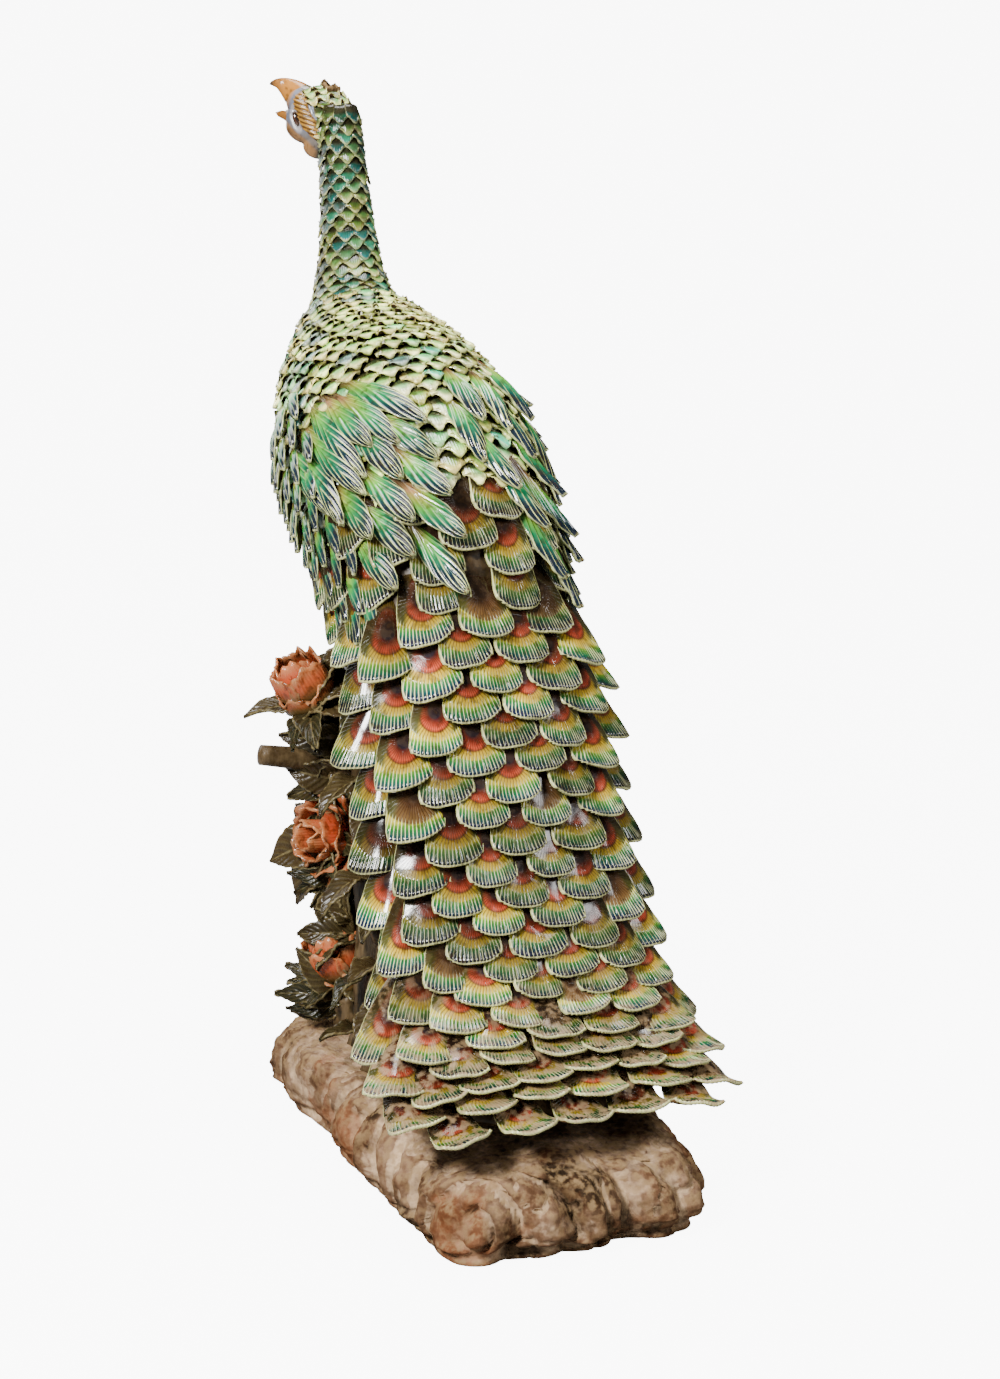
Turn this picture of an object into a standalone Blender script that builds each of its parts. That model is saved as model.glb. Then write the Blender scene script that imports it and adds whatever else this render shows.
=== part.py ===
"""A large glazed earthenware peacock, fired in one piece with its rose stump and its rock.

The bird looks away along -Y with its head turned to its left, +X, and its train runs down
behind it, +Y, on to the rock. The origin is on the flat underside of the rock.
"""

import math

import bmesh
import bpy
import numpy as np
from mathutils import Matrix, Vector

# Driving dimensions, in metres
ROCK_HEIGHT = 0.090  # underside to the top of the slab, under the train
ROCK_LENGTH = 0.665
ROCK_WIDTH = 0.315
BIRD_HEIGHT = 1.110  # top of the slab to the crown of the head
STUMP_HEIGHT = 0.490  # top of the slab to the feet
SCALE_PITCH = 0.018  # one row of small neck scales to the next
BREAST_PITCH = 0.031  # the same on the back and breast
FEATHER_PITCH = 0.028  # one row of train feathers to the next
SCALE_LIFT = 0.0045  # how far the tip of a small scale stands off the skin
BREAST_LIFT = 0.006  # the same on the back and breast
FEATHER_LIFT = 0.013  # the same for a train feather
UNDERCUT = 0.2  # how far a scale's tip overhangs its root, in rows
TUCK = 0.009  # how deep a layer's first and last ring lie under the next layer
FLARE = 0.012  # extra lift of the feathers along the sides of the train
FEATHER_THICKNESS = 0.0055  # a wing feather
LEAF_THICKNESS = 0.005
LEAF_LENGTH = 0.078
LEG_RADIUS = 0.010
CREST_HOLE_RADIUS = 0.0065  # the broken socket in the crown
CREST_HOLE_DEPTH = 0.012

# Each row of these two tables is one station of the bird's form, in shares of BIRD_HEIGHT:
# sideways, back, up from the slab, half width, half depth.
TORSO = [
    (0.001, -0.371, 0.968, 0.020, 0.024),
    (-0.001, -0.361, 0.896, 0.0225, 0.026),
    (-0.001, -0.350, 0.833, 0.028, 0.031),
    (0.001, -0.337, 0.779, 0.040, 0.043),
    (0.000, -0.311, 0.734, 0.070, 0.063),
    (0.000, -0.263, 0.685, 0.104, 0.093),
    (0.000, -0.200, 0.635, 0.119, 0.113),
    (0.000, -0.128, 0.577, 0.118, 0.112),
    (-0.002, -0.060, 0.505, 0.106, 0.090),
    (-0.004, -0.009, 0.423, 0.096, 0.064),
]
TRAIN = [
    (-0.002, -0.063, 0.559, 0.092, 0.054),
    (-0.004, -0.009, 0.468, 0.100, 0.049),
    (-0.005, 0.027, 0.378, 0.104, 0.046),
    (-0.007, 0.059, 0.288, 0.107, 0.043),
    (-0.009, 0.090, 0.198, 0.113, 0.041),
    (-0.008, 0.128, 0.113, 0.136, 0.038),
    (-0.004, 0.184, 0.050, 0.160, 0.031),
    (-0.006, 0.254, 0.010, 0.148, 0.011),
]


class Skin:
    """A tapering body with oval sections, laid along the stations of a table."""

    def __init__(self, stations, samples=120):
        base = Vector((0.0, 0.0, ROCK_HEIGHT))
        rows = [[share * BIRD_HEIGHT for share in row] for row in stations]
        points = [np.array([2 * a - b for a, b in zip(rows[0], rows[1])])]
        points += [np.array(row) for row in rows]
        points += [np.array([2 * a - b for a, b in zip(rows[-1], rows[-2])])]
        spans = len(rows) - 1
        made = []
        for index in range(samples):
            place = index * spans / (samples - 1)
            first = min(int(place), spans - 1)
            made.append(self.between(points[first : first + 4], place - first))
        self.centres = [Vector(row[:3]) + base for row in made]
        self.widths = [row[3] for row in made]
        self.depths = [row[4] for row in made]
        steps = [(b - a).length for a, b in zip(self.centres, self.centres[1:])]
        self.lengths = np.concatenate([[0.0], np.cumsum(steps)])
        self.length = self.lengths[-1]

    @staticmethod
    def between(four, share):
        """A smooth curve through the two middle rows of four."""
        a, b, c, d = four
        bend = 2 * a - 5 * b + 4 * c - d
        turn = 3 * b - a - 3 * c + d
        return 0.5 * (2 * b + (c - a) * share + bend * share**2 + turn * share**3)

    def at(self, along, degrees, proud=0.0):
        """A point on the skin: 0 degrees is the bird's left, 90 its back."""
        place = min(max(along, 0.0), self.length)
        index = int(np.searchsorted(self.lengths, place)) - 1
        index = min(max(index, 0), len(self.centres) - 2)
        step = self.lengths[index + 1] - self.lengths[index]
        share = (place - self.lengths[index]) / step
        centre = self.centres[index].lerp(self.centres[index + 1], share)
        low, high = max(index - 2, 0), min(index + 3, len(self.centres) - 1)
        run = (self.centres[high] - self.centres[low]).normalized()
        centre += run * (along - place)
        back = Vector((0.0, -run.z, run.y)).normalized()
        width = self.widths[index] * (1 - share) + self.widths[index + 1] * share
        depth = self.depths[index] * (1 - share) + self.depths[index + 1] * share
        c, s = math.cos(math.radians(degrees)), math.sin(math.radians(degrees))
        stretch = proud / math.hypot(depth * c, width * s)
        sideways = Vector((1.0, 0.0, 0.0)) * (width + stretch * depth) * c
        return centre + sideways + back * (depth + stretch * width) * s

    def outward(self, along, degrees):
        """The direction that faces away from the body there."""
        near = self.at(along, degrees, 0.0)
        return (self.at(along, degrees, 0.01) - near).normalized()


def add_loft(bm, rings):
    """A closed form through rings of equal length, with a fan over each end."""
    made = [[bm.verts.new(point) for point in ring] for ring in rings]
    count = len(made[0])
    for low, high in zip(made, made[1:]):
        for i in range(count):
            j = (i + 1) % count
            bm.faces.new((low[i], low[j], high[j], high[i]))
    for ring, points in ((made[0], rings[0]), (made[-1], rings[-1])):
        middle = bm.verts.new(sum((Vector(p) for p in points), Vector()) / count)
        for i in range(count):
            bm.faces.new((ring[i], ring[(i + 1) % count], middle))


def finish(name, bm):
    """Makes the bmesh an object of triangles that face outwards."""
    bmesh.ops.recalc_face_normals(bm, faces=bm.faces)
    bmesh.ops.triangulate(bm, faces=bm.faces)
    mesh = bpy.data.meshes.new(name)
    bm.to_mesh(mesh)
    bm.free()
    made = bpy.data.objects.new(name, mesh)
    bpy.context.scene.collection.objects.link(made)
    return made


def oval(centre, side, up, half_width, half_height, count, turn=0.0):
    """A ring of points round a centre."""
    angles = [2 * math.pi * i / count + turn for i in range(count)]
    return [
        centre + side * half_width * math.cos(a) + up * half_height * math.sin(a)
        for a in angles
    ]


def shingled(
    name, skin, span, pitch, degrees, reach, rise, lift, flare=0.0, amounts=None, free_tips=1.0
):
    """Rows of overlapping scales round a skin, each row half a scale out of step.

    reach and rise give one scale, point by point across it: how far its edge runs past
    the row line in pitches, and how much of the lift it has. amounts says for each angle
    how much of a scale there is, from 0 on a plain side to 1. The tips of the last row,
    which nothing follows, are free_tips times as long.
    """
    first, last = span
    rows = round((last - first) / pitch)
    pitch = (last - first) / rows
    across = len(reach)
    amounts = amounts or [1.0] * len(degrees)
    turned = [(a + b) / 2 for a, b in zip(degrees, degrees[1:] + [degrees[0] + 360.0])]
    rings = [[skin.at(first - pitch, angle, -TUCK) for angle in degrees]]
    for row in range(rows):
        edge, under = [], []
        angles = turned if across % 2 and row % 2 else degrees
        for k, (angle, amount) in enumerate(zip(angles, amounts)):
            point = (k - (row % 2) * (across // 2)) % across
            side = abs(math.cos(math.radians(angle))) ** 4 * flare * amount
            past = 0.4 + (reach[point] - 0.4) * amount
            past *= free_tips if row == rows - 1 else 1.0
            proud = (lift + side) * rise[point] * amount + 0.0005
            along = first + (row + past) * pitch
            edge.append(skin.at(along + 0.5 * side * rise[point], angle, proud))
            under.append(skin.at(along - UNDERCUT * (0.3 + past) * pitch, angle))
        rings += [edge, under]
    rings.append([skin.at(last, angle, -0.3 * TUCK) for angle in angles])
    bm = bmesh.new()
    add_loft(bm, rings)
    return finish(name, bm)


def blade(name, path, facing, half_width, thickness, profile, fold=0.0):
    """A leaf or a long feather: a lens-shaped strip along a path of points.

    profile gives the share of the half width at each point, and fold how far the edges
    rise over the midrib, as a share of the half width.
    """
    rings = []
    for i, (centre, share) in enumerate(zip(path, profile)):
        run = path[min(i + 1, len(path) - 1)] - path[max(i - 1, 0)]
        up = facing[i]
        side = run.cross(up).normalized()
        up = side.cross(run).normalized()
        reach = side * half_width * share
        edge = up * fold * half_width * share
        half = up * thickness * 0.5 * (0.4 + 0.6 * share)
        rings.append([centre - reach + edge, centre - half, centre + reach + edge, centre + half])
    bm = bmesh.new()
    add_loft(bm, rings)
    return finish(name, bm)


def tapered(name, centres, sizes, side, count=8):
    """A rounded limb through centres, with (half width, half height) at each."""
    rings = []
    for i, (centre, (wide, high)) in enumerate(zip(centres, sizes)):
        run = centres[min(i + 1, len(centres) - 1)] - centres[max(i - 1, 0)]
        up = side.cross(run).normalized()
        rings.append(oval(centre, run.cross(up).normalized(), up, wide, high, count))
    bm = bmesh.new()
    add_loft(bm, rings)
    return finish(name, bm)


def ball(name, centre, axes, sizes, segments=12, rings=8):
    """A sphere stretched along three directions."""
    bm = bmesh.new()
    bmesh.ops.create_uvsphere(bm, u_segments=segments, v_segments=rings, radius=1.0)
    stretch = Matrix([axis * size for axis, size in zip(axes, sizes)]).transposed()
    bmesh.ops.transform(bm, matrix=Matrix.Translation(centre) @ stretch.to_4x4(), verts=bm.verts)
    return finish(name, bm)


def fuse(body, others, name):
    """One closed solid from a body and all that grows on it."""
    hidden = bpy.data.collections.new("fused")
    for other in others:
        bpy.context.scene.collection.objects.unlink(other)
        hidden.objects.link(other)
    join = body.modifiers.new("join", "BOOLEAN")
    join.operation = "UNION"
    join.operand_type = "COLLECTION"
    join.collection = hidden
    join.solver = "MANIFOLD"
    graph = bpy.context.evaluated_depsgraph_get()
    mesh = bpy.data.meshes.new_from_object(body.evaluated_get(graph))
    for other in [*others, body]:
        bpy.data.objects.remove(other)
    bpy.data.collections.remove(hidden)
    mesh.name = name
    made = bpy.data.objects.new(name, mesh)
    bpy.context.scene.collection.objects.link(made)
    return made


def cut(body, cutter):
    """Takes the cutter's shape out of the body."""
    notch = body.modifiers.new("notch", "BOOLEAN")
    notch.operation = "DIFFERENCE"
    notch.object = cutter
    notch.solver = "MANIFOLD"
    apply_modifiers(body)
    bpy.data.objects.remove(cutter)


def apply_modifiers(body):
    """Gives the body the mesh that its modifiers make."""
    graph = bpy.context.evaluated_depsgraph_get()
    mesh = bpy.data.meshes.new_from_object(body.evaluated_get(graph))
    body.modifiers.clear()
    body.data = mesh


# Rock: a long slab with a lumpy rim, under everything

ROCK_MIDDLE = Vector((-0.002, -0.003, 0.0))
ROCK_SEGMENTS = 36
ROCK_CORNER = 5.0  # how square its outline is: 2 is an oval
ROCK_RINGS = [(0.95, 0.0), (1.0, 0.27), (0.985, 0.6), (0.93, 0.88), (0.82, 1.0), (0.4, 1.02)]


def rock_reach(angle):
    """How far the rim lies from the middle, with squared corners and worn lobes."""
    c, s = math.cos(angle), math.sin(angle)
    corner = (abs(c) ** ROCK_CORNER + abs(s) ** ROCK_CORNER) ** (-1 / ROCK_CORNER)
    lobes = 0.015 * math.sin(9 * angle + 0.7) + 0.012 * math.sin(15 * angle + 2.0)
    return corner * (1 + lobes)


def make_rock():
    rings = []
    for share, height in ROCK_RINGS:
        ring = []
        for i in range(ROCK_SEGMENTS):
            angle = 2 * math.pi * i / ROCK_SEGMENTS
            reach = rock_reach(angle) * share
            x = math.cos(angle) * reach * ROCK_WIDTH / 2
            y = math.sin(angle) * reach * ROCK_LENGTH / 2
            bump = 0.05 * math.sin(5 * angle + 9 * share) if height > 0 else 0.0
            z = ROCK_HEIGHT * (height + bump)
            ring.append(ROCK_MIDDLE + Vector((x, y, z)))
        rings.append(ring)
    bm = bmesh.new()
    add_loft(bm, rings)
    return finish("rock", bm)


# Stump: a broad tree stump that rises to the feet and backs the train

STUMP_SEGMENTS = 18
STUMP_RINGS = [  # share of the height, back, half width, half depth
    (-0.06, -0.075, 0.112, 0.190),
    (0.05, -0.080, 0.100, 0.178),
    (0.30, -0.098, 0.086, 0.158),
    (0.62, -0.130, 0.080, 0.128),
    (0.90, -0.168, 0.076, 0.100),
    (1.00, -0.183, 0.060, 0.080),
    (1.02, -0.190, 0.034, 0.050),
]
STUMP_TWIST = 0.5  # radians from foot to top
KNOTS = [  # x, y, share of the height, size
    (0.078, -0.190, 0.06, 0.030),
    (0.074, -0.060, 0.34, 0.026),
    (-0.078, -0.090, 0.50, 0.028),
    (-0.030, -0.235, 0.70, 0.026),
]


def make_stump():
    rings = []
    for share, back, wide, deep in STUMP_RINGS:
        ring = []
        for i in range(STUMP_SEGMENTS):
            angle = 2 * math.pi * i / STUMP_SEGMENTS
            bark = 1 + 0.07 * math.cos(math.pi * i) + 0.05 * math.sin(3 * angle + 7 * share)
            turn = angle + STUMP_TWIST * share
            x = math.cos(turn) * wide * bark
            y = back + math.sin(turn) * deep * bark
            ring.append(Vector((x, y, ROCK_HEIGHT + STUMP_HEIGHT * share)))
        rings.append(ring)
    bm = bmesh.new()
    add_loft(bm, rings)
    made = [finish("stump", bm)]
    axes = (Vector((1, 0, 0)), Vector((0, 1, 0)), Vector((0, 0, 1)))
    for number, (x, y, share, size) in enumerate(KNOTS):
        middle = Vector((x, y, ROCK_HEIGHT + STUMP_HEIGHT * share))
        made.append(ball(f"knot_{number}", middle, axes, (size, size, 1.3 * size), 7, 4))
    return made


# Body, neck and train

NECK_END = 0.240  # along the spine of the torso, in metres on a bird of the nominal height
BREAST_START = 0.226
BREAST_END = 0.600
NECK_SCALES = 9
BREAST_SCALES = 15
TRAIN_FEATHERS = 5
TRAIN_ARC = (-38.0, 210.0)  # the train is feathered over this arc of its section
TRAIN_PLAIN = 4  # points across its plain underside
TRAIN_FLATNESS = 0.42  # depth to width of its sections
NOMINAL_BIRD = 1.110


def along_bird(metres):
    """A length along the nominal bird, for a bird of this height."""
    return metres * BIRD_HEIGHT / NOMINAL_BIRD


def all_round(scales):
    """Two points to a scale, all the way round."""
    return [180.0 * k / scales for k in range(2 * scales)]


def even_arc(low, high, steps, flatness):
    """Angles from low to high that lie evenly along a section of that depth to width."""
    fine = np.radians(np.linspace(low, high, 400))
    pace = np.hypot(np.sin(fine), flatness * np.cos(fine))
    run = np.concatenate([[0.0], np.cumsum((pace[1:] + pace[:-1]) / 2)])
    return list(np.degrees(np.interp(np.linspace(0, run[-1], steps + 1), run, fine)))


def make_neck(torso):
    span = (along_bird(0.0), along_bird(NECK_END))
    degrees = all_round(NECK_SCALES)
    return shingled("neck", torso, span, SCALE_PITCH, degrees, (0.1, 1.0), (0.3, 1.0), SCALE_LIFT)


def make_breast(torso):
    span = (along_bird(BREAST_START), along_bird(BREAST_END))
    degrees = all_round(BREAST_SCALES)
    return shingled(
        "breast", torso, span, BREAST_PITCH, degrees, (0.2, 1.0), (0.3, 1.0), BREAST_LIFT
    )


def make_train(train):
    low, high = TRAIN_ARC
    points = 4 * TRAIN_FEATHERS
    degrees = even_arc(low, high, points, TRAIN_FLATNESS)
    gap = (360.0 - high + low) / (TRAIN_PLAIN + 1)
    degrees += [high + gap * (k + 1) for k in range(TRAIN_PLAIN)]
    amounts = [1.0] * (points + 1) + [0.5] * TRAIN_PLAIN
    return shingled(
        "train", train, (0.0, train.length - FEATHER_PITCH), FEATHER_PITCH, degrees,
        (0.2, 0.95, 1.15, 0.95), (0.4, 0.9, 1.0, 0.9), FEATHER_LIFT, FLARE, amounts, 1.6,
    )


# Wings: long feathers laid over both sides of the back, in four rows

WING_WIDTH = 0.036  # one wing feather, across
WING_PROFILE = (0.4, 1.0, 0.9, 0.35)
WING_LIFT = (0.001, 0.012, 0.017, 0.019)  # how far its middle stands off the skin
LEFT_WING = [  # along, first angle, last angle, feathers, length, sweep in degrees
    (0.430, 18.0, 50.0, 4, 0.125, 17.0),
    (0.508, 26.0, 60.0, 3, 0.115, 16.0),
    (0.568, 34.0, 62.0, 3, 0.105, 15.0),
    (0.625, 46.0, 60.0, 2, 0.100, 16.0),
]
RIGHT_WING = [
    (0.430, 99.0, 143.0, 4, 0.115, 8.0),
    (0.508, 102.0, 140.0, 3, 0.110, 9.0),
    (0.565, 108.0, 146.0, 3, 0.105, 9.0),
    (0.620, 120.0, 138.0, 2, 0.100, 10.0),
]


def make_wings(torso):
    made = []
    for side, rows in (("left", LEFT_WING), ("right", RIGHT_WING)):
        for row, (along, first, last, count, length, sweep) in enumerate(rows):
            for i in range(count):
                start = first + (last - first) * i / (count - 1)
                path, facing = [], []
                for k, lift in enumerate(WING_LIFT):
                    share = k / (len(WING_LIFT) - 1)
                    place = along_bird(along + length * share)
                    angle = start + sweep * share
                    path.append(torso.at(place, angle, lift - 0.004 * share * (i % 2)))
                    facing.append(torso.outward(place, angle))
                name = f"{side}_wing_{row}_{i}"
                width = WING_WIDTH / 2
                made.append(blade(name, path, facing, width, FEATHER_THICKNESS, WING_PROFILE, -0.1))
    return made


# Head: turned to the bird's left, lifted, beak open, crest gone from its socket

HEAD_TURN = 50.0  # degrees to the bird's left
HEAD_LIFT = 27.0  # degrees up
HEAD_SHARE = (0.01436, -0.38841, 0.96940)  # middle of the skull, in shares of BIRD_HEIGHT
SKULL = (0.039, 0.0225, 0.033)  # half length, half width, half height
BEAK_LENGTH = 0.0545
JAW_LENGTH = 0.019
CREST_AHEAD = 0.0055  # the crest's socket, from the middle of the skull
PATCH_TILT = 30.0  # degrees: the ribbed patch slopes down and back from over the eye
EYE_TILT = 45.0


def head_axes():
    turn, lift = math.radians(HEAD_TURN), math.radians(HEAD_LIFT)
    front = Vector((math.sin(turn), -math.cos(turn), 0.0)) * math.cos(lift)
    front.z = math.sin(lift)
    left = Vector((math.cos(turn), math.sin(turn), 0.0))
    return front, left, front.cross(left)


def make_head():
    base = Vector((0.0, 0.0, ROCK_HEIGHT))
    middle = Vector(HEAD_SHARE) * BIRD_HEIGHT + base
    front, left, up = head_axes()
    axes = (front, left, up)

    def spot(ahead, aside, above):
        return middle + front * ahead + left * aside + up * above

    def tilted(degrees):
        """The head's axes with front and up turned about its left."""
        c, s = math.cos(math.radians(degrees)), math.sin(math.radians(degrees))
        return front * c + up * s, left, up * c - front * s

    skull = ball("skull", spot(0, 0, 0.003), axes, SKULL, 12, 8)
    cheek = ball("cheek", spot(0.004, 0.0, -0.016), axes, (0.033, 0.020, 0.022), 10, 6)
    upper = [spot(0.024, 0, 0.006), spot(0.038, 0, 0.0085), spot(0.0526, 0, 0.0105)]
    upper += [spot(0.0125 + BEAK_LENGTH, 0, 0.0118), spot(0.0239 + BEAK_LENGTH, 0, 0.0065)]
    sizes = [(0.016, 0.019), (0.013, 0.0185), (0.009, 0.014), (0.0055, 0.0065), (0.001, 0.001)]
    beak = tapered("beak", upper, sizes, left)
    lower = [spot(0.020, 0, -0.018), spot(0.038, 0, -0.0185), spot(0.038 + JAW_LENGTH, 0, -0.0215)]
    jaw = tapered("jaw", lower, [(0.013, 0.011), (0.009, 0.0065), (0.001, 0.001)], left)
    slope, look = tilted(PATCH_TILT), tilted(EYE_TILT)
    patches = [
        ball(f"patch_{side}", spot(0.009, side * 0.018, -0.006), slope, (0.030, 0.006, 0.011), 8, 5)
        for side in (1, -1)
    ]
    eyes = [
        ball(f"eye_{side}", spot(0.0238, side * 0.0170, -0.0139), look, (0.009, 0.004, 0.004), 6, 4)
        for side in (1, -1)
    ]
    rim = ball("crest_rim", spot(CREST_AHEAD, 0, 0.033), axes, (0.013, 0.012, 0.008), 8, 4)
    hole = bmesh.new()
    bmesh.ops.create_cone(
        hole, cap_ends=True, segments=8, radius1=CREST_HOLE_RADIUS, radius2=CREST_HOLE_RADIUS,
        depth=2 * CREST_HOLE_DEPTH,
    )
    mouth = spot(CREST_AHEAD, 0, 0.041)
    place = Matrix.Translation(mouth) @ up.to_track_quat("Z", "Y").to_matrix().to_4x4()
    bmesh.ops.transform(hole, matrix=place, verts=hole.verts)
    head = fuse(skull, [cheek, beak, jaw, rim] + patches + eyes, "head")
    cut(head, finish("crest_hole", hole))
    return head


# Legs and feet on the stump

LEG_SPREAD = 0.038
FOOT_BACK = -0.232
KNEE_BACK = -0.202
KNEE_SHARE = 0.5495  # height of the hidden knee above the slab, in shares of BIRD_HEIGHT
LEG_SINK = 0.012  # how deep the legs stand in the stump
TOES = ((-35.0, 0.036), (0.0, 0.042), (35.0, 0.036))


def make_legs():
    top = ROCK_HEIGHT + STUMP_HEIGHT
    made = []
    hidden = ROCK_HEIGHT + BIRD_HEIGHT * KNEE_SHARE
    for side in (1, -1):
        foot = Vector((side * LEG_SPREAD, FOOT_BACK, top))
        knee = Vector((side * LEG_SPREAD, KNEE_BACK, hidden))
        ends = [foot - Vector((0, 0, LEG_SINK)), foot.lerp(knee, 0.5), knee]
        sizes = [(LEG_RADIUS * share,) * 2 for share in (1.2, 1.0, 2.2)]
        made.append(tapered(f"leg_{side}", ends, sizes, Vector((1, 0, 0)), 6))
        for turn, length in TOES:
            angle = math.radians(turn)
            run = Vector((math.sin(angle), -math.cos(angle), 0))
            ends = [foot - run * 0.004, foot + run * length * 0.6, foot + run * length]
            ends[2].z -= 0.014
            sizes = [(0.008, 0.009), (0.007, 0.007), (0.003, 0.003)]
            across = Vector((run.y, -run.x, 0))
            made.append(tapered(f"toe_{side}_{turn:.0f}", ends, sizes, across, 5))
    return made


# Roses: each sprig is a flower on a short stalk, with a whorl of leaves at its foot

BUD = [  # share of the radius, of the length, swell of the edge, which way the petals lie
    (0.50, -0.10, 0.00, 0),
    (1.00, 0.45, 0.08, 0),
    (0.72, 0.85, 0.14, 1),
    (0.20, 0.80, 0.00, 0),
]
ROSE = [
    (0.40, -0.10, 0.00, 0),
    (1.00, 0.60, 0.14, 0),
    (0.68, 0.50, 0.00, 0),
    (0.66, 0.86, 0.14, 1),
    (0.38, 0.68, 0.00, 1),
    (0.22, 1.00, 0.10, 0),
]
# Each sprig: the middle of its flower x, y and in shares of the stump's height, its aim
# x, y, z, its radius, length and stalk, how many leaves it has, and its form.
SPRIGS = [
    (0.120, -0.195, 0.847, 0.50, 0.10, 0.85, 0.027, 0.050, 0.085, 6, BUD),
    (0.088, -0.195, 0.490, 0.93, 0.25, 0.15, 0.050, 0.055, 0.060, 5, ROSE),
    (0.080, -0.195, 0.153, 0.45, 0.15, 0.85, 0.029, 0.055, 0.060, 5, BUD),
    (-0.130, -0.150, 0.878, -0.75, 0.10, 0.60, 0.030, 0.050, 0.085, 4, BUD),
    (-0.020, -0.290, 0.531, -0.15, -0.95, 0.25, 0.046, 0.050, 0.070, 4, ROSE),
    (-0.085, -0.220, 0.204, -0.65, -0.30, 0.70, 0.030, 0.050, 0.070, 4, BUD),
]
PETALS = 5
LEAF_PROFILE = (0.3, 1.0, 0.85, 0.2)


def make_flower(name, foot, aim, radius, length, stalk, form):
    """Whorls of petals round one axis, each inside the last and half a petal out of step."""
    side = aim.orthogonal().normalized()
    up = aim.cross(side)
    rings = []
    for reach, height, swell, row in [(0.30, -stalk / length, 0.0, 0), *form]:
        ring = []
        for k in range(2 * PETALS):
            grow = 1 + swell * (1 if (k + row) % 2 else -1)
            angle = math.pi * k / PETALS
            spoke = side * math.cos(angle) + up * math.sin(angle)
            ring.append(foot + spoke * radius * reach * grow + aim * length * height)
        rings.append(ring)
    bm = bmesh.new()
    add_loft(bm, rings)
    return finish(name, bm)


def make_leaf(name, foot, run, facing, length):
    path = []
    for k in range(len(LEAF_PROFILE)):
        share = k / (len(LEAF_PROFILE) - 1)
        bow = 0.16 * math.sin(math.pi * share) - 0.10 * share
        path.append(foot + (run * share + facing * bow) * length)
    faces = [facing] * len(path)
    return blade(name, path, faces, length * 0.27, LEAF_THICKNESS, LEAF_PROFILE, 0.22)


def make_roses():
    made = []
    for number, row in enumerate(SPRIGS):
        radius, length, stalk, leaves, form = row[6:]
        foot = Vector((row[0], row[1], ROCK_HEIGHT + STUMP_HEIGHT * row[2]))
        aim = Vector(row[3:6]).normalized()
        side = aim.orthogonal().normalized()
        up = aim.cross(side)
        made.append(make_flower(f"rose_{number}", foot, aim, radius, length, stalk, form))
        for k in range(leaves):
            angle = 2 * math.pi * (k + 0.37 * number) / leaves
            spoke = side * math.cos(angle) + up * math.sin(angle)
            run = (spoke + aim * (0.15 + 0.3 * (k % 3))).normalized()
            facing = (aim - run * aim.dot(run)).normalized()
            start = foot - aim * (0.006 + 0.012 * (k % 2)) + spoke * 0.002
            size = LEAF_LENGTH * (0.9 + 0.12 * (k % 4))
            made.append(make_leaf(f"leaf_{number}_{k}", start, run, facing, size))
    return made


# The clay and the one fired piece

KEPT_FACES = 0.8  # share of the triangles kept when the slivers that fusing makes are merged


def earthenware():
    clay = bpy.data.materials.new("glazed_earthenware")
    clay.use_nodes = True
    shader = clay.node_tree.nodes["Principled BSDF"]
    shader.inputs["Base Color"].default_value = (0.22, 0.26, 0.12, 1.0)
    shader.inputs["Roughness"].default_value = 0.28
    shader.inputs["Metallic"].default_value = 0.0
    return clay


def simplify(body):
    """Merges the smallest triangles into their neighbours."""
    bm = bmesh.new()
    bm.from_mesh(body.data)
    bmesh.ops.triangulate(bm, faces=bm.faces)
    bm.to_mesh(body.data)
    bm.free()
    merge = body.modifiers.new("merge", "DECIMATE")
    merge.ratio = KEPT_FACES
    apply_modifiers(body)


def main():
    for old in list(bpy.data.objects):
        bpy.data.objects.remove(old)
    torso, train = Skin(TORSO), Skin(TRAIN)
    grown = [make_neck(torso), make_breast(torso), make_train(train), make_head()]
    grown += make_stump() + make_wings(torso) + make_legs() + make_roses()
    peacock = fuse(make_rock(), grown, "peacock_figure")
    simplify(peacock)
    peacock.data.materials.clear()
    peacock.data.materials.append(earthenware())
    shelf = bpy.data.collections.new("peacock")
    bpy.context.scene.collection.children.link(shelf)
    bpy.context.scene.collection.objects.unlink(peacock)
    shelf.objects.link(peacock)


main()
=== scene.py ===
"""A large peacock of glazed earthenware, fired in one piece with its rose stump and its rock.

The bird looks away along -Y and turns its head to its left, +X. The origin is under the rock.
"""

import math

import bmesh
import bpy
import numpy as np
from mathutils import Matrix, Vector, noise


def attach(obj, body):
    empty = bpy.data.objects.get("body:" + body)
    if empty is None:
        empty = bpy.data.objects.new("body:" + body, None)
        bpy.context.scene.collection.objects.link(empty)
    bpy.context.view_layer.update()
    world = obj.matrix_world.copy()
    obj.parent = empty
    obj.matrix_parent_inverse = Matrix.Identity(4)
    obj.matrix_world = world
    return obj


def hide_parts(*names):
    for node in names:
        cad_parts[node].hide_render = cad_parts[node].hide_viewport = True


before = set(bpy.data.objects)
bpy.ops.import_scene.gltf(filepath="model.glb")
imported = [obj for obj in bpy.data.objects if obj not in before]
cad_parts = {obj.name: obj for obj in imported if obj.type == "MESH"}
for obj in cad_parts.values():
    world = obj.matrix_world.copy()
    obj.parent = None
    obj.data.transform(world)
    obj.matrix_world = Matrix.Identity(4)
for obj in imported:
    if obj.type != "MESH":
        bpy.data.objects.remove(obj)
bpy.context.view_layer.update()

# The studio: a pale floor that sweeps up far behind the figure, four soft lamps, and a
# camera behind the bird's left side. None of it belongs to the figure.


def as_mesh(name, built):
    """What was built as a mesh of that name; the builder's copy is freed."""
    mesh = bpy.data.meshes.new(name)
    built.to_mesh(mesh)
    built.free()
    return mesh


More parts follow.
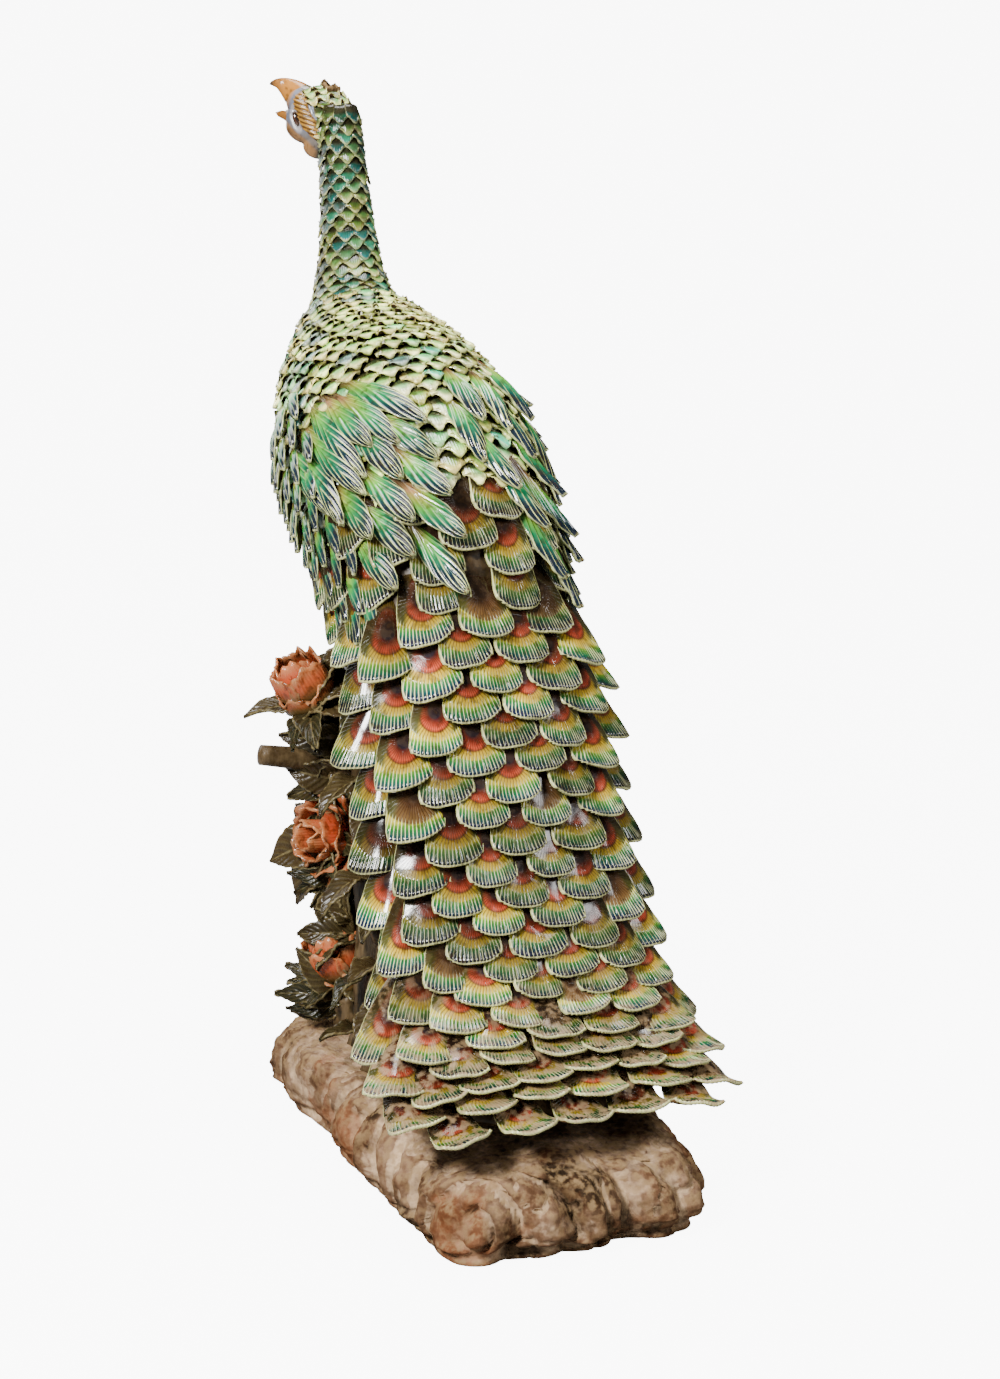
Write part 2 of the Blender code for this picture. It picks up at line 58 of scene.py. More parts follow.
def add_object(name, data, place=(0.0, 0.0, 0.0), aim=None):
    """An object of the scene, turned to look at aim where one is given."""
    made = bpy.data.objects.new(name, data)
    bpy.context.scene.collection.objects.link(made)
    made.location = place
    if aim:
        made.rotation_euler = (Vector(aim) - Vector(place)).to_track_quat("-Z", "Y").to_euler()
    return made


lens = bpy.data.cameras.new("camera")
lens.sensor_width = 36.0
lens.lens = 65.13
camera = add_object("camera", lens, (1.0319, 2.5161, 1.1164), (0.0, 0.085, 0.555))
bpy.context.scene.camera = camera

for lamp_name, lamp_place, lamp_size, watts in (
    ("left_lamp", (2.3, 1.5, 2.4), 0.8, 310),
    ("right_lamp", (-1.9, 2.2, 1.9), 1.1, 60),
    ("top_lamp", (0.0, -0.3, 3.2), 1.2, 120),
    ("front_lamp", (0.6, -3.0, 1.8), 1.8, 35),
):
    lamp = bpy.data.lights.new(lamp_name, "AREA")
    lamp.size = lamp_size
    lamp.energy = watts
    add_object(lamp_name, lamp, lamp_place, (0.0, 0.0, 0.6))

sky = bpy.data.worlds.new("sky")
sky.use_nodes = True
sky_light = sky.node_tree.nodes["Background"].inputs
sky_light["Color"].default_value = (1.0, 1.0, 1.0, 1.0)
sky_light["Strength"].default_value = 0.09
bpy.context.scene.world = sky

SWEEP_START, SWEEP_BEND = -3.0, 0.22
paper = bmesh.new()
bmesh.ops.create_grid(paper, x_segments=8, y_segments=60, size=9.0)
for vert in paper.verts:
    vert.co.z = SWEEP_BEND * max(0.0, SWEEP_START - vert.co.y) ** 2
floor_mesh = as_mesh("floor", paper)
floor_mesh.shade_smooth()
floor = add_object("floor", floor_mesh)
floor_paint = bpy.data.materials.new("floor_paper")
floor_paint.use_nodes = True
paper_inputs = floor_paint.node_tree.nodes["Principled BSDF"].inputs
paper_inputs["Base Color"].default_value = (0.25, 0.25, 0.25, 1.0)
paper_inputs["Roughness"].default_value = 0.9
paper_inputs["Specular IOR Level"].default_value = 0.0
paper_inputs["Emission Strength"].default_value = 9.0
seen = floor_paint.node_tree.nodes.new("ShaderNodeLightPath")
floor_paint.node_tree.links.new(seen.outputs["Is Camera Ray"], paper_inputs["Emission Color"])
floor_mesh.materials.append(floor_paint)


# The rock: a long slab of the same clay, pressed and torn by hand into lobes along its rim.
# It has hardly any glaze, and beige dust lies in its hollows.


class Wiring:
    """Lays shader nodes in one tree; each call gives back an output to go on from."""

    def __init__(self, tree):
        self.tree = tree

    def node(self, kind, values=None, output=0, **settings):
        made = self.tree.nodes.new("ShaderNode" + kind)
        for name, value in settings.items():
            setattr(made, name, value)
        self.feed(made, values or {})
        return made.outputs[output]

    def feed(self, made, values):
        """Links or sets the inputs of a node by name or number."""
        for name, value in values.items():
            socket = made.inputs[name]
            if isinstance(value, bpy.types.NodeSocket):
                self.tree.links.new(value, socket)
            elif socket.type == "RGBA":
                socket.default_value = (*value[:3], 1.0)
            else:
                socket.default_value = value

    def calc(self, operation, *values):
        return self.node("Math", dict(enumerate(values)), operation=operation)

    def times(self, one, two):
        return self.calc("MULTIPLY", one, two)

    def line(self, value, slope, start):
        """value times slope, plus start."""
        return self.calc("MULTIPLY_ADD", value, slope, start)

    def reach(self, one, two):
        """The distance that two distances at right angles make."""
        squares = (self.calc("POWER", one, 2.0), self.calc("POWER", two, 2.0))
        return self.calc("SQRT", self.calc("ADD", *squares))

    def fade(self, value, low, high, start=0.0, end=1.0):
        """start below low, end above high, and a soft step between them."""
        span = {"Value": value, "From Min": low, "From Max": high, "To Min": start, "To Max": end}
        return self.node("MapRange", span, interpolation_type="SMOOTHSTEP")

    def blend(self, share, under, over, how="MIX"):
        return self.node("Mix", {0: share, 6: under, 7: over}, 2, data_type="RGBA", blend_type=how)

    def grain(self, place, scale, detail=3.0):
        return self.node("TexNoise", {"Vector": place, "Scale": scale, "Detail": detail})

    def place(self):
        """The object's own coordinates."""
        return self.node("TexCoord", output=3)

    def stored(self, name, output=0):
        """What the mesh itself stores at each vertex under that name."""
        return self.node("Attribute", output=output, attribute_name=name, attribute_type="GEOMETRY")

    def split(self, colour):
        return self.node("SeparateColor", {0: colour}).node.outputs[:3]

    def ramp(self, value, stops):
        made = self.tree.nodes.new("ShaderNodeValToRGB")
        while len(made.color_ramp.elements) < len(stops):
            made.color_ramp.elements.new(1.0)
        for element, (spot, colour) in zip(made.color_ramp.elements, stops):
            element.position = spot
            element.color = (*colour, 1.0)
        self.tree.links.new(value, made.inputs[0])
        return made.outputs[0]


def new_group(name, takes, gives):
    tree = bpy.data.node_groups.new(name, "ShaderNodeTree")
    for label, kind, value in takes:
        socket = tree.interface.new_socket(label, in_out="INPUT", socket_type="NodeSocket" + kind)
        socket.default_value = value
    for label, kind in gives:
        tree.interface.new_socket(label, in_out="OUTPUT", socket_type="NodeSocket" + kind)
    inner = tree.nodes.new("NodeGroupInput").outputs
    return Wiring(tree), inner, tree.nodes.new("NodeGroupOutput").inputs


wires, takes, gives = new_group(
    "fired_glaze",
    [
        ("Color", "Color", (0.5, 0.5, 0.5, 1.0)),
        ("Worn", "Float", 0.0),
        ("Dust", "Float", 0.3),
        ("Relief", "Float", 0.0),
        ("Matt", "Float", 0.16),
    ],
    [("Color", "Color"), ("Roughness", "Float"), ("Normal", "Vector")],
)
spot = wires.place()
pool = wires.grain(spot, 24.0, 3.0)
mottle = wires.grain(spot, 110.0, 4.0)
speck = wires.grain(spot, 520.0, 2.0)
upward = wires.node("SeparateXYZ", {0: wires.node("NewGeometry", output=1)}, 2)
depth = wires.fade(pool, 0.32, 0.68, 0.72, 1.25)
colour = wires.blend(1.0, takes["Color"], depth, "MULTIPLY")
umber = wires.fade(mottle, 0.47, 0.35, 0.0, 0.55)
umber = wires.times(umber, wires.line(takes["Dust"], -0.75, 1.0))
colour = wires.blend(umber, colour, (0.030, 0.016, 0.006))
bare = wires.times(takes["Worn"], wires.fade(mottle, 0.38, 0.56))
colour = wires.blend(bare, colour, (0.66, 0.60, 0.33))
settled = wires.times(wires.fade(mottle, 0.40, 0.62), wires.fade(upward, -0.3, 0.9, 0.25, 1.0))
settled = wires.times(settled, takes["Dust"])
colour = wires.blend(settled, colour, (0.24, 0.155, 0.075))
rough = wires.line(settled, 0.45, takes["Matt"])
rough = wires.line(speck, 0.06, rough)
height = wires.line(mottle, 0.09, takes["Relief"])
height = wires.line(speck, 0.010, height)
bumped = wires.node("Bump", {"Height": height, "Distance": 0.001, "Strength": 1.0})
for label, value in (("Color", colour), ("Roughness", rough), ("Normal", bumped)):
    wires.tree.links.new(value, gives[label])


COAT_SHARE = 0.08


def fired(name, paint, gloss):
    """A fired finish: paint lays its pattern and gives the glaze group's inputs."""
    finish = bpy.data.materials.new(name)
    finish.use_nodes = True
    shader = finish.node_tree.nodes["Principled BSDF"]
    glaze = finish.node_tree.nodes.new("ShaderNodeGroup")
    glaze.node_tree = bpy.data.node_groups["fired_glaze"]
    wires = Wiring(finish.node_tree)
    wires.feed(glaze, paint(wires))
    for given, taken in (("Color", "Base Color"), ("Roughness", "Roughness"), ("Normal", "Normal")):
        wires.feed(shader, {taken: glaze.outputs[given]})
    wires.feed(shader, {"Specular IOR Level": gloss, "Coat Weight": COAT_SHARE * gloss})
    return finish


def piece(mesh, *finishes):
    """A finished mesh as a piece of the figure, under the mesh's name."""
    for finish in finishes:
        mesh.materials.append(finish)
    mesh.shade_smooth()
    made = add_object(mesh.name, mesh)
    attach(made, "root")
    return made


def rolled(name, around, along, *shapes):
    """Sheets rolled into closed skins: each shape gives points for an angle and a rise, 0 to 1."""
    skin = bmesh.new()
    for shape in shapes:
        sheet = bmesh.new()
        bmesh.ops.create_grid(sheet, x_segments=around, y_segments=along, size=0.5)
        flat = np.array([vert.co for vert in sheet.verts])
        angle = 2 * math.pi * ((flat[:, 0] + 0.5) % 1.0)
        for vert, point in zip(sheet.verts, shape(angle, flat[:, 1] + 0.5)):
            vert.co = point
        bmesh.ops.remove_doubles(sheet, verts=sheet.verts, dist=1e-6)
        bmesh.ops.recalc_face_normals(sheet, faces=sheet.faces)
        part = as_mesh("part", sheet)
        skin.from_mesh(part)
        bpy.data.meshes.remove(part)
    mesh = as_mesh(name, skin)
    mark_hollows(mesh)
    return mesh


def of_vertices(mesh, what):
    values = np.zeros(3 * len(mesh.vertices))
    mesh.vertices.foreach_get(what, values)
    return values.reshape(-1, 3)


def mark_hollows(mesh, rounds=3):
    """Marks each vertex with how deep it lies under its neighbours, in millimetres."""
    points, normals = of_vertices(mesh, "co"), of_vertices(mesh, "normal")
    pairs = np.zeros(2 * len(mesh.edges), int)
    mesh.edges.foreach_get("vertices", pairs)
    one, two = pairs.reshape(-1, 2).T
    count = np.maximum(np.bincount(pairs, minlength=len(points)), 1)[:, None]
    even = points
    for _ in range(rounds):
        total = np.zeros_like(points)
        np.add.at(total, one, even[two])
        np.add.at(total, two, even[one])
        even = total / count
    deep = 1000 * ((even - points) * normals).sum(1)
    mesh.attributes.new("hollow", "FLOAT", "POINT").data.foreach_set("value", deep.astype(np.float32))


def unit(vectors):
    return vectors / np.linalg.norm(vectors, axis=-1)[..., None]


def read_off(value, steps, table):
    """The columns of a table, each read off at value between its steps."""
    return [np.interp(value, steps, column) for column in table.T]


def crumble(points, scale, detail=4):
    """Fractal noise at each point, about -1 to 1."""
    return np.array([noise.fractal(Vector(p) * scale, 1.0, 2.0, detail) for p in points])


ROCK_HEIGHT = 0.090
ROCK_HALF = (0.1575, 0.3325)
LOBE_PITCH, LOBE_DEPTH = 0.050, 0.021
ROCK_RISE = (0, 0.26, 0.31, 0.36, 0.44, 0.52, 0.60, 0.70, 0.86, 1.0)
ROCK_SHARE = (0, 0.90, 0.955, 0.955, 1.0, 0.985, 0.93, 0.82, 0.4, 0.0)
ROCK_LEVEL = (0, 0, 0.02, 0.16, 0.30, 0.60, 0.88, 1.0, 1.02, 1.02)


def rock_shape(angle, rise):
    c, s = np.cos(angle), np.sin(angle)
    square = np.interp(rise, (0.3, 0.6), (8.0, 4.5))
    reach = (abs(c) ** square + abs(s) ** square) ** (-1 / square)
    reach *= 1 + 0.015 * np.sin(9 * angle + 0.7) + 0.012 * np.sin(15 * angle + 2.0)
    share = np.interp(rise, ROCK_RISE, ROCK_SHARE)
    level = np.interp(rise, ROCK_RISE, ROCK_LEVEL)
    x = -0.002 + c * reach * share * ROCK_HALF[0]
    y = -0.003 + s * reach * share * ROCK_HALF[1]
    z = ROCK_HEIGHT * (level + 0.05 * np.sin(5 * angle + 9 * share) * (level > 0.1))
    points = np.stack([x, y, z], 1)
    out = unit(np.stack([c * reach, s * reach, 0 * c], 1))
    rim = np.interp(rise, (0.29, 0.36, 0.60, 0.72), (0, 1, 1, 0))
    wobble = crumble(points * (1, 1, 0.45), 8.0, 2)
    lobe = np.abs(np.sin(math.pi * (x + 0.8 * y) / LOBE_PITCH + 4.2 * wobble)) ** 0.6
    lip = np.exp(-(((rise - 0.375) / 0.022) ** 2)) - 1.3 * np.exp(-(((rise - 0.33) / 0.016) ** 2))
    crack = np.exp(-((crumble(points * (1, 1, 0.35), 17.0, 2) / 0.045) ** 2))
    bulge = LOBE_DEPTH * lobe - 0.015 + 0.0045 * lip * (1 + wobble) - 0.008 * crack
    points += out * (rim * bulge)[:, None]
    rough = 0.006 * crumble(points, 14.0) + 0.0022 * crumble(points, 60.0)
    points += out * (rough * rim)[:, None]
    points[:, 2] += rough * np.interp(rise, (0.45, 0.62), (0, 1.0))
    points[:, 2] = np.maximum(points[:, 2], 0.0)
    return points


def rock_paint(wires):
    place = wires.place()
    broad, mid, fine = (wires.grain(place, scale, 4.0) for scale in (7.0, 26.0, 120.0))
    tone = wires.line(fine, 0.25, wires.line(mid, 0.35, wires.times(broad, 0.4)))
    colour = wires.ramp(
        tone,
        [(0.39, (0.018, 0.010, 0.006)), (0.48, (0.16, 0.098, 0.058)), (0.60, (0.44, 0.30, 0.19))],
    )
    hollow = wires.stored("hollow", 2)
    drift = wires.times(wires.fade(hollow, 0.05, 0.8, 0.0, 0.7), wires.fade(mid, 0.42, 0.58))
    colour = wires.blend(drift, colour, (0.46, 0.32, 0.19))
    colour = wires.blend(wires.fade(hollow, -0.1, -0.9, 0.0, 0.65), colour, (0.070, 0.028, 0.012))
    rust = wires.fade(wires.grain(place, 11.0, 3.0), 0.54, 0.64, 0.0, 0.65)
    colour = wires.blend(rust, colour, (0.15, 0.048, 0.018))
    soot = wires.fade(wires.grain(place, 8.0, 4.0), 0.44, 0.36, 0.0, 0.85)
    colour = wires.blend(soot, colour, (0.012, 0.008, 0.005))
    relief = wires.line(fine, 2.4, wires.times(mid, 4.5))
    return {"Color": colour, "Dust": 0.80, "Relief": relief, "Matt": 0.55}


piece(rolled("rock", 260, 84, rock_shape), fired("dusty_rock_clay", rock_paint, 0.0))


# The stump: a hollow broad trunk with twisted bark and cut knots, modelled round the inside
# of the train. It carries the feet and the roses, and is glazed dark olive and umber.

STUMP_HEIGHT = 0.490
STUMP_TWIST = 0.5
STUMP_RINGS = np.array([  # share of the height, back, half width, half depth
    (-0.06, -0.075, 0.112, 0.190),
    (0.05, -0.080, 0.100, 0.178),
    (0.30, -0.098, 0.086, 0.158),
    (0.62, -0.130, 0.080, 0.128),
    (0.90, -0.168, 0.076, 0.100),
    (1.00, -0.183, 0.060, 0.080),
    (1.02, -0.190, 0.034, 0.050),
])
KNOTS = [  # sideways, back, share of the height, size
    (0.078, -0.190, 0.06, 0.030),
    (0.074, -0.060, 0.34, 0.026),
    (-0.078, -0.090, 0.50, 0.028),
    (-0.030, -0.235, 0.70, 0.026),
]


def stump_shape(angle, rise):
    share = np.interp(rise, (0, 0.97, 1.0), (-0.06, 1.02, 1.03))
    back, wide, deep = read_off(share, STUMP_RINGS[:, 0], STUMP_RINGS[:, 1:])
    close = np.interp(rise, (0, 0.02, 0.97, 1.0), (0, 1, 1, 0))
    around = np.stack([np.cos(angle), np.sin(angle), 0.22 * share * STUMP_HEIGHT / 0.09], 1)
    drift = crumble(around, 1.3, 2)
    ridge = 1 - np.abs(np.sin(8.5 * angle + 2.2 * drift + 1.4 * share))
    bark = 1 + 0.10 * ridge + 0.05 * np.sin(3 * angle + 7 * share) + 0.05 * crumble(around, 6.0)
    bark = (bark - 0.04) * close
    spin = angle + STUMP_TWIST * share
    x, y = np.cos(spin) * wide * bark, back + np.sin(spin) * deep * bark
    return np.stack([x, y, ROCK_HEIGHT + STUMP_HEIGHT * share], 1)


def knot_shape(x, y, share, size):
    def shape(angle, rise):
        bow = math.pi * rise
        ring = 1 + 0.05 * np.sin(10 * bow) + 0.05 * np.sin(5 * angle + 3 * bow)
        ring *= 1 - 0.35 * np.exp(-((rise - 0.98) / 0.10) ** 2)
        out = Vector((x, y + 0.12, 0)).normalized()
        local = np.stack([np.sin(bow) * np.cos(angle), np.sin(bow) * np.sin(angle), -np.cos(bow)], 1)
        local *= (size * ring)[:, None]
        turn_out = np.array(out.to_track_quat("Z", "Y").to_matrix())
        return local @ turn_out.T + (x, y, ROCK_HEIGHT + STUMP_HEIGHT * share)

    return shape


def bark_paint(wires):
    place = wires.place()
    long = wires.node("Mapping", {"Vector": place, "Scale": (1.0, 1.0, 0.22)})
    fibre, broad = wires.grain(long, 150.0, 4.0), wires.grain(place, 20.0, 3.0)
    tone = wires.line(fibre, 0.5, wires.times(broad, 0.5))
    colour = wires.ramp(
        tone,
        [(0.38, (0.004, 0.003, 0.001)), (0.52, (0.016, 0.011, 0.004)), (0.68, (0.065, 0.044, 0.017))],
    )
    hollow = wires.stored("hollow", 2)
    # Painted shade: the bark is darker in its hollows.
    colour = wires.blend(wires.fade(hollow, 0.0, 0.6, 0.0, 0.8), colour, (0.008, 0.005, 0.002))
    # Painted highlight: the bark is lighter on its ridges.
    colour = wires.blend(wires.fade(hollow, 0.0, -0.7, 0.0, 0.5), colour, (0.11, 0.070, 0.032))
    return {"Color": colour, "Dust": 0.14, "Relief": wires.times(fibre, 2.2), "Matt": 0.30}


bark_finish = fired("bark_glaze", bark_paint, 0.2)
piece(rolled("stump", 170, 90, stump_shape), bark_finish)
piece(rolled("stump_knots", 32, 20, *[knot_shape(*row) for row in KNOTS]), bark_finish)


# The bird's hollow body and train: two smooth skins of clay under all the scales and
# feathers, glazed dark umber and painted near black as the painted shade in every gap.

BIRD_HEIGHT = 1.110
TORSO = [  # shares of the bird's height: sideways, back, up, half width, half depth
    (0.001, -0.371, 0.968, 0.020, 0.024),
    (-0.001, -0.361, 0.896, 0.0225, 0.026),
    (-0.001, -0.350, 0.833, 0.028, 0.031),
    (0.001, -0.337, 0.779, 0.040, 0.043),
    (0.000, -0.311, 0.734, 0.070, 0.063),
    (0.000, -0.263, 0.685, 0.104, 0.093),
    (0.000, -0.200, 0.635, 0.119, 0.113),
    (0.000, -0.128, 0.577, 0.118, 0.112),
    (-0.002, -0.060, 0.505, 0.106, 0.090),
    (-0.004, -0.009, 0.423, 0.096, 0.064),
]
TRAIN = [
    (-0.002, -0.063, 0.559, 0.092, 0.054),
    (-0.004, -0.009, 0.468, 0.100, 0.049),
    (-0.005, 0.027, 0.378, 0.104, 0.046),
    (-0.007, 0.059, 0.288, 0.107, 0.043),
    (-0.009, 0.090, 0.198, 0.113, 0.041),
    (-0.008, 0.128, 0.113, 0.136, 0.038),
    (-0.004, 0.184, 0.050, 0.160, 0.031),
    (-0.006, 0.254, 0.010, 0.148, 0.011),
]


class Skin:
    """A body with oval sections laid along a smooth spine."""

    def __init__(self, stations, samples=120):
        rows = np.array(stations) * BIRD_HEIGHT
        rows = np.vstack([2 * rows[0] - rows[1], rows, 2 * rows[-1] - rows[-2]])
        place = np.linspace(0, len(stations) - 1, samples)
        first = np.minimum(place.astype(int), len(stations) - 2)
        share = (place - first)[:, None]
        a, b, c, d = (rows[first + k] for k in range(4))
        bend, turn = 2 * a - 5 * b + 4 * c - d, 3 * b - a - 3 * c + d
        made = 0.5 * (2 * b + (c - a) * share + bend * share**2 + turn * share**3)
        self.centres = made[:, :3] + (0, 0, ROCK_HEIGHT)
        self.widths, self.depths = made[:, 3], made[:, 4]
        steps = np.linalg.norm(np.diff(self.centres, axis=0), axis=1)
        self.lengths = np.concatenate([[0.0], np.cumsum(steps)])
        self.length = self.lengths[-1]

    def size(self, along):
        """Half width and half depth."""
        place = np.clip(along, 0, self.length)
        return np.interp(place, self.lengths, self.widths), np.interp(place, self.lengths, self.depths)

    def at(self, along, degrees, proud=0.0):
        """Points on the skin: 0 degrees is the bird's left, 90 its back."""
        along, degrees, proud = np.broadcast_arrays(along, degrees, proud)
        place = np.clip(along, 0, self.length)
        index = np.clip(np.searchsorted(self.lengths, place) - 1, 0, len(self.lengths) - 2)
        centre = np.stack(read_off(place, self.lengths, self.centres), -1)
        low, high = np.maximum(index - 2, 0), np.minimum(index + 3, len(self.lengths) - 1)
        run = unit(self.centres[high] - self.centres[low])
        centre += run * (along - place)[..., None]
        back = unit(np.stack([0 * place, -run[..., 2], run[..., 1]], -1))
        width, depth = self.size(along)
        c, s = np.cos(np.radians(degrees)), np.sin(np.radians(degrees))
        stretch = proud / np.hypot(depth * c, width * s)
        aside = ((width + stretch * depth) * c)[..., None] * (1.0, 0.0, 0.0)
        return centre + aside + back * ((depth + stretch * width) * s)[..., None]

    def outward(self, along, degrees):
        return unit(self.at(along, degrees, 0.01) - self.at(along, degrees))

    def arc(self, along, low, high, shares):
        """Angles that lie at those shares of the way from low to high, and the way's length."""
        width, depth = self.size(along)
        fine = np.radians(np.linspace(low, high, 300))
        pace = np.hypot(width * np.sin(fine), depth * np.cos(fine))
        way = np.concatenate([[0.0], np.cumsum((pace[1:] + pace[:-1]) / 2 * np.diff(fine))])
        return np.degrees(np.interp(np.asarray(shares) * way[-1], way, fine)), way[-1]


torso, train = Skin(TORSO), Skin(TRAIN)


def core_shape(skin, end):
    def shape(angle, rise):
        along = end * rise
        close = np.sqrt(np.interp(rise, (0, 0.012, 0.90, 1.0), (0, 1, 1, 0)))[:, None]
        points = skin.at(along, np.degrees(angle), -0.0015)
        middle = (skin.at(along, 0.0) + skin.at(along, 180.0)) / 2
        return middle + (points - middle) * close

    return shape


def core_gap_shade_paint(wires):
    place = wires.place()
    tone = wires.grain(place, 40.0, 4.0)
    # Painted shade: near-black umber, so the core reads as the shade in the gaps.
    colour = wires.ramp(
        tone, [(0.38, (0.006, 0.004, 0.002)), (0.52, (0.020, 0.012, 0.004)), (0.66, (0.060, 0.036, 0.014))]
    )
    return {"Color": colour, "Dust": 0.2, "Relief": wires.times(tone, 1.5), "Matt": 0.32}


core_mesh = rolled("body_core", 72, 100, core_shape(torso, torso.length), core_shape(train, 0.690))
body_core = piece(core_mesh, fired("umber_wash_gap_shade", core_gap_shade_paint, 0.15))
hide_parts("peacock_figure")


# The small scales of the neck and the broad ones of the back and breast: pads of clay, cut
# out and pressed on one by one in rings, each with a thick pale rim and a greener middle.

chance = np.random.default_rng(11)


def copies(name, across, along, lay, marks, thick, *finishes):
    """Thin tiles in one mesh, one for each row of marks; lay gives all their points."""
    tile = bmesh.new()
    bmesh.ops.create_grid(tile, x_segments=across, y_segments=along, size=1.0)
    flat = np.array([vert.co for vert in tile.verts])
    sample = as_mesh("tile", tile)
    many = bmesh.new()
    for _ in marks:
        many.from_mesh(sample)
    bpy.data.meshes.remove(sample)
    mesh = as_mesh(name, many)
    side, rise = flat[:, 0], (flat[:, 1] + 1) / 2
    mesh.vertices.foreach_set("co", np.ascontiguousarray(lay(side[None], rise[None])).reshape(-1))
    corners = np.zeros(len(mesh.loops), int)
    mesh.loops.foreach_get("vertex_index", corners)
    spots = np.stack([(side + 1) / 2, rise], 1)[corners % len(side)]
    mesh.uv_layers.new(name="pattern").data.foreach_set("uv", spots.ravel())
    mark = mesh.attributes.new("mark", "FLOAT_COLOR", "POINT")
    mark.data.foreach_set("color", np.repeat(marks, len(side), axis=0).astype(np.float32).ravel())
    mesh.update()
    made = piece(mesh, *finishes)
    wall = made.modifiers.new("wall", "SOLIDIFY")
    wall.thickness = thick
    wall.offset = -1.0
    wall.material_offset = len(finishes) - 1
    return made


def pattern_spot(wires):
    """A tile's own place: across, -1 to 1, then without its sign, and along, 0 root to 1 tip."""
    spot = wires.node("SeparateXYZ", {0: wires.node("UVMap", uv_map="pattern")}).node.outputs
    signed = wires.line(spot[0], 2.0, -1.0)
    return signed, wires.calc("ABSOLUTE", signed), spot[1]


def mark_of(wires):
    """The three marks of a tile as one colour, and its own luck."""
    made = wires.stored("mark")
    return made, made.node.outputs["Alpha"]


def scale_paint(wires):
    signed, across, along = pattern_spot(wires)
    tint, luck = mark_of(wires)
    far = wires.calc("MAXIMUM", wires.line(along, 1.7, -0.7), 0.0)
    edge = wires.reach(across, far)
    rim = wires.fade(edge, 0.76, 0.98)
    middle = wires.blend(1.0, tint, (0.16, 0.50, 0.36), "MULTIPLY")
    heart = wires.blend(wires.fade(edge, 0.86, 0.30, 0.0, 0.9), tint, middle)
    lip = wires.blend(wires.fade(luck, 0.0, 1.0, 0.15, 0.50), tint, (0.74, 0.72, 0.28))
    colour = wires.blend(wires.times(rim, 0.85), heart, lip)
    # Painted shadow: the part of each scale under the lip of the scale above darkens nearly to black.
    colour = wires.blend(wires.fade(along, 0.62, 0.38, 0.0, 0.94), colour, (0.006, 0.006, 0.002))
    cloudy = wires.fade(wires.grain(wires.place(), 60.0), 0.30, 0.70, 0.55, 1.35)
    colour = wires.blend(1.0, colour, cloudy, "MULTIPLY")
    lines = wires.calc("SINE", wires.times(signed, 34.0))
    relief = wires.times(wires.calc("SUBTRACT", 1.0, rim), wires.times(lines, 0.10))
    worn = wires.times(rim, 0.14)
    return {"Color": colour, "Worn": worn, "Dust": 0.08, "Relief": relief, "Matt": 0.08}


def plain_paint(dark, light, scale, matt, low=0.38, dust=0.05):
    """A paint of two tones in a cloudy mix, with low as the share that is all dark."""
    def paint(wires):
        tone = wires.grain(wires.place(), scale, 3.0)
        return {"Color": wires.ramp(tone, [(low, dark), (1 - low, light)]), "Dust": dust, "Matt": matt}

    return paint


scale_finish = fired("scale_glaze", scale_paint, 0.5)
underside_paint = plain_paint((0.022, 0.012, 0.005), (0.11, 0.062, 0.026), 60.0, 0.40, 0.35, 0.3)
under_finish = fired("underside_clay", underside_paint, 0.1)

SCALE_TINTS = np.array([
    (0.37, 0.45, 0.12), (0.55, 0.57, 0.18), (0.16, 0.36, 0.14), (0.03, 0.28, 0.17),
    (0.006, 0.14, 0.13), (0.18, 0.19, 0.035), (0.12, 0.18, 0.17), (0.40, 0.32, 0.09),
])
SCALE_OVERLAP = 2.1  # a scale's length as a share of the pitch of the rings
CORNERS_BACK = 0.32  # how far its corners draw back, as a share of its length
NECK_ODDS = (0.22, 0.16, 0.18, 0.16, 0.12, 0.08, 0.06, 0.02)
SIDE_ODDS = (0.08, 0.12, 0.08, 0.08, 0.06, 0.10, 0.40, 0.08)
BACK_ODDS = (0.24, 0.36, 0.08, 0.02, 0.00, 0.12, 0.04, 0.14)


def scale_rows(first, last, pitch, width, bright, odds):
    """Along, degrees, half width, length, and mark of every scale in staggered rings."""
    made = []
    rows = round((last - first) / pitch)
    for row in range(rows):
        tip = first + (last - first) * (row + 1) / rows
        girth = torso.arc(tip, 0.0, 360.0, [0.0])[1]
        broad, shade = (np.interp(tip, (first, last), ends) for ends in (width, bright))
        count = max(8, round(girth / broad))
        spots = torso.arc(tip, 0.0, 360.0, (np.arange(count) + 0.5 * (row % 2)) / count)[0]
        for degrees in spots:
            beside = abs((degrees - 90 + 180) % 360 - 180) > 62
            tint = SCALE_TINTS[chance.choice(len(SCALE_TINTS), p=SIDE_ODDS if beside else odds)]
            tint = np.minimum(tint * shade * chance.uniform(0.75, 1.2), 0.85)
            half = broad * 0.55 * chance.uniform(0.93, 1.07)
            along = tip + chance.normal(0, 0.07) * pitch
            turned = degrees + chance.normal(0, 1.2)
            made.append((along, turned, half, SCALE_OVERLAP * pitch, *tint, chance.random()))
    return np.array(made)


def lay_scales(rows, lift, dome):
    def lay(side, rise):
        along, middle, half, length = (rows[:, k, None] for k in range(4))
        grow = np.interp(rise, (0, 0.3, 0.6, 0.85, 1.0), (0.86, 1.0, 1.0, 0.93, 0.60))
        back = CORNERS_BACK * side**2 * rise**3
        place = along - length * (1 - rise + back)
        width, depth = torso.size(place)
        angle = np.radians(middle)
        arm = np.hypot(width * np.sin(angle), depth * np.cos(angle))
        wander = rows[:, 7, None] * 2 - 1
        proud = lift * np.maximum(rise - back, 0) ** 1.3 * (1 + 0.22 * wander) - 0.0005
        proud = proud + dome * (1 - side**2) * np.sin(math.pi * np.clip(rise * 1.05, 0, 1))
        proud = proud + 0.0012 * wander * side
        return torso.at(place, middle - np.degrees(side * half * grow / arm), proud)

    return lay


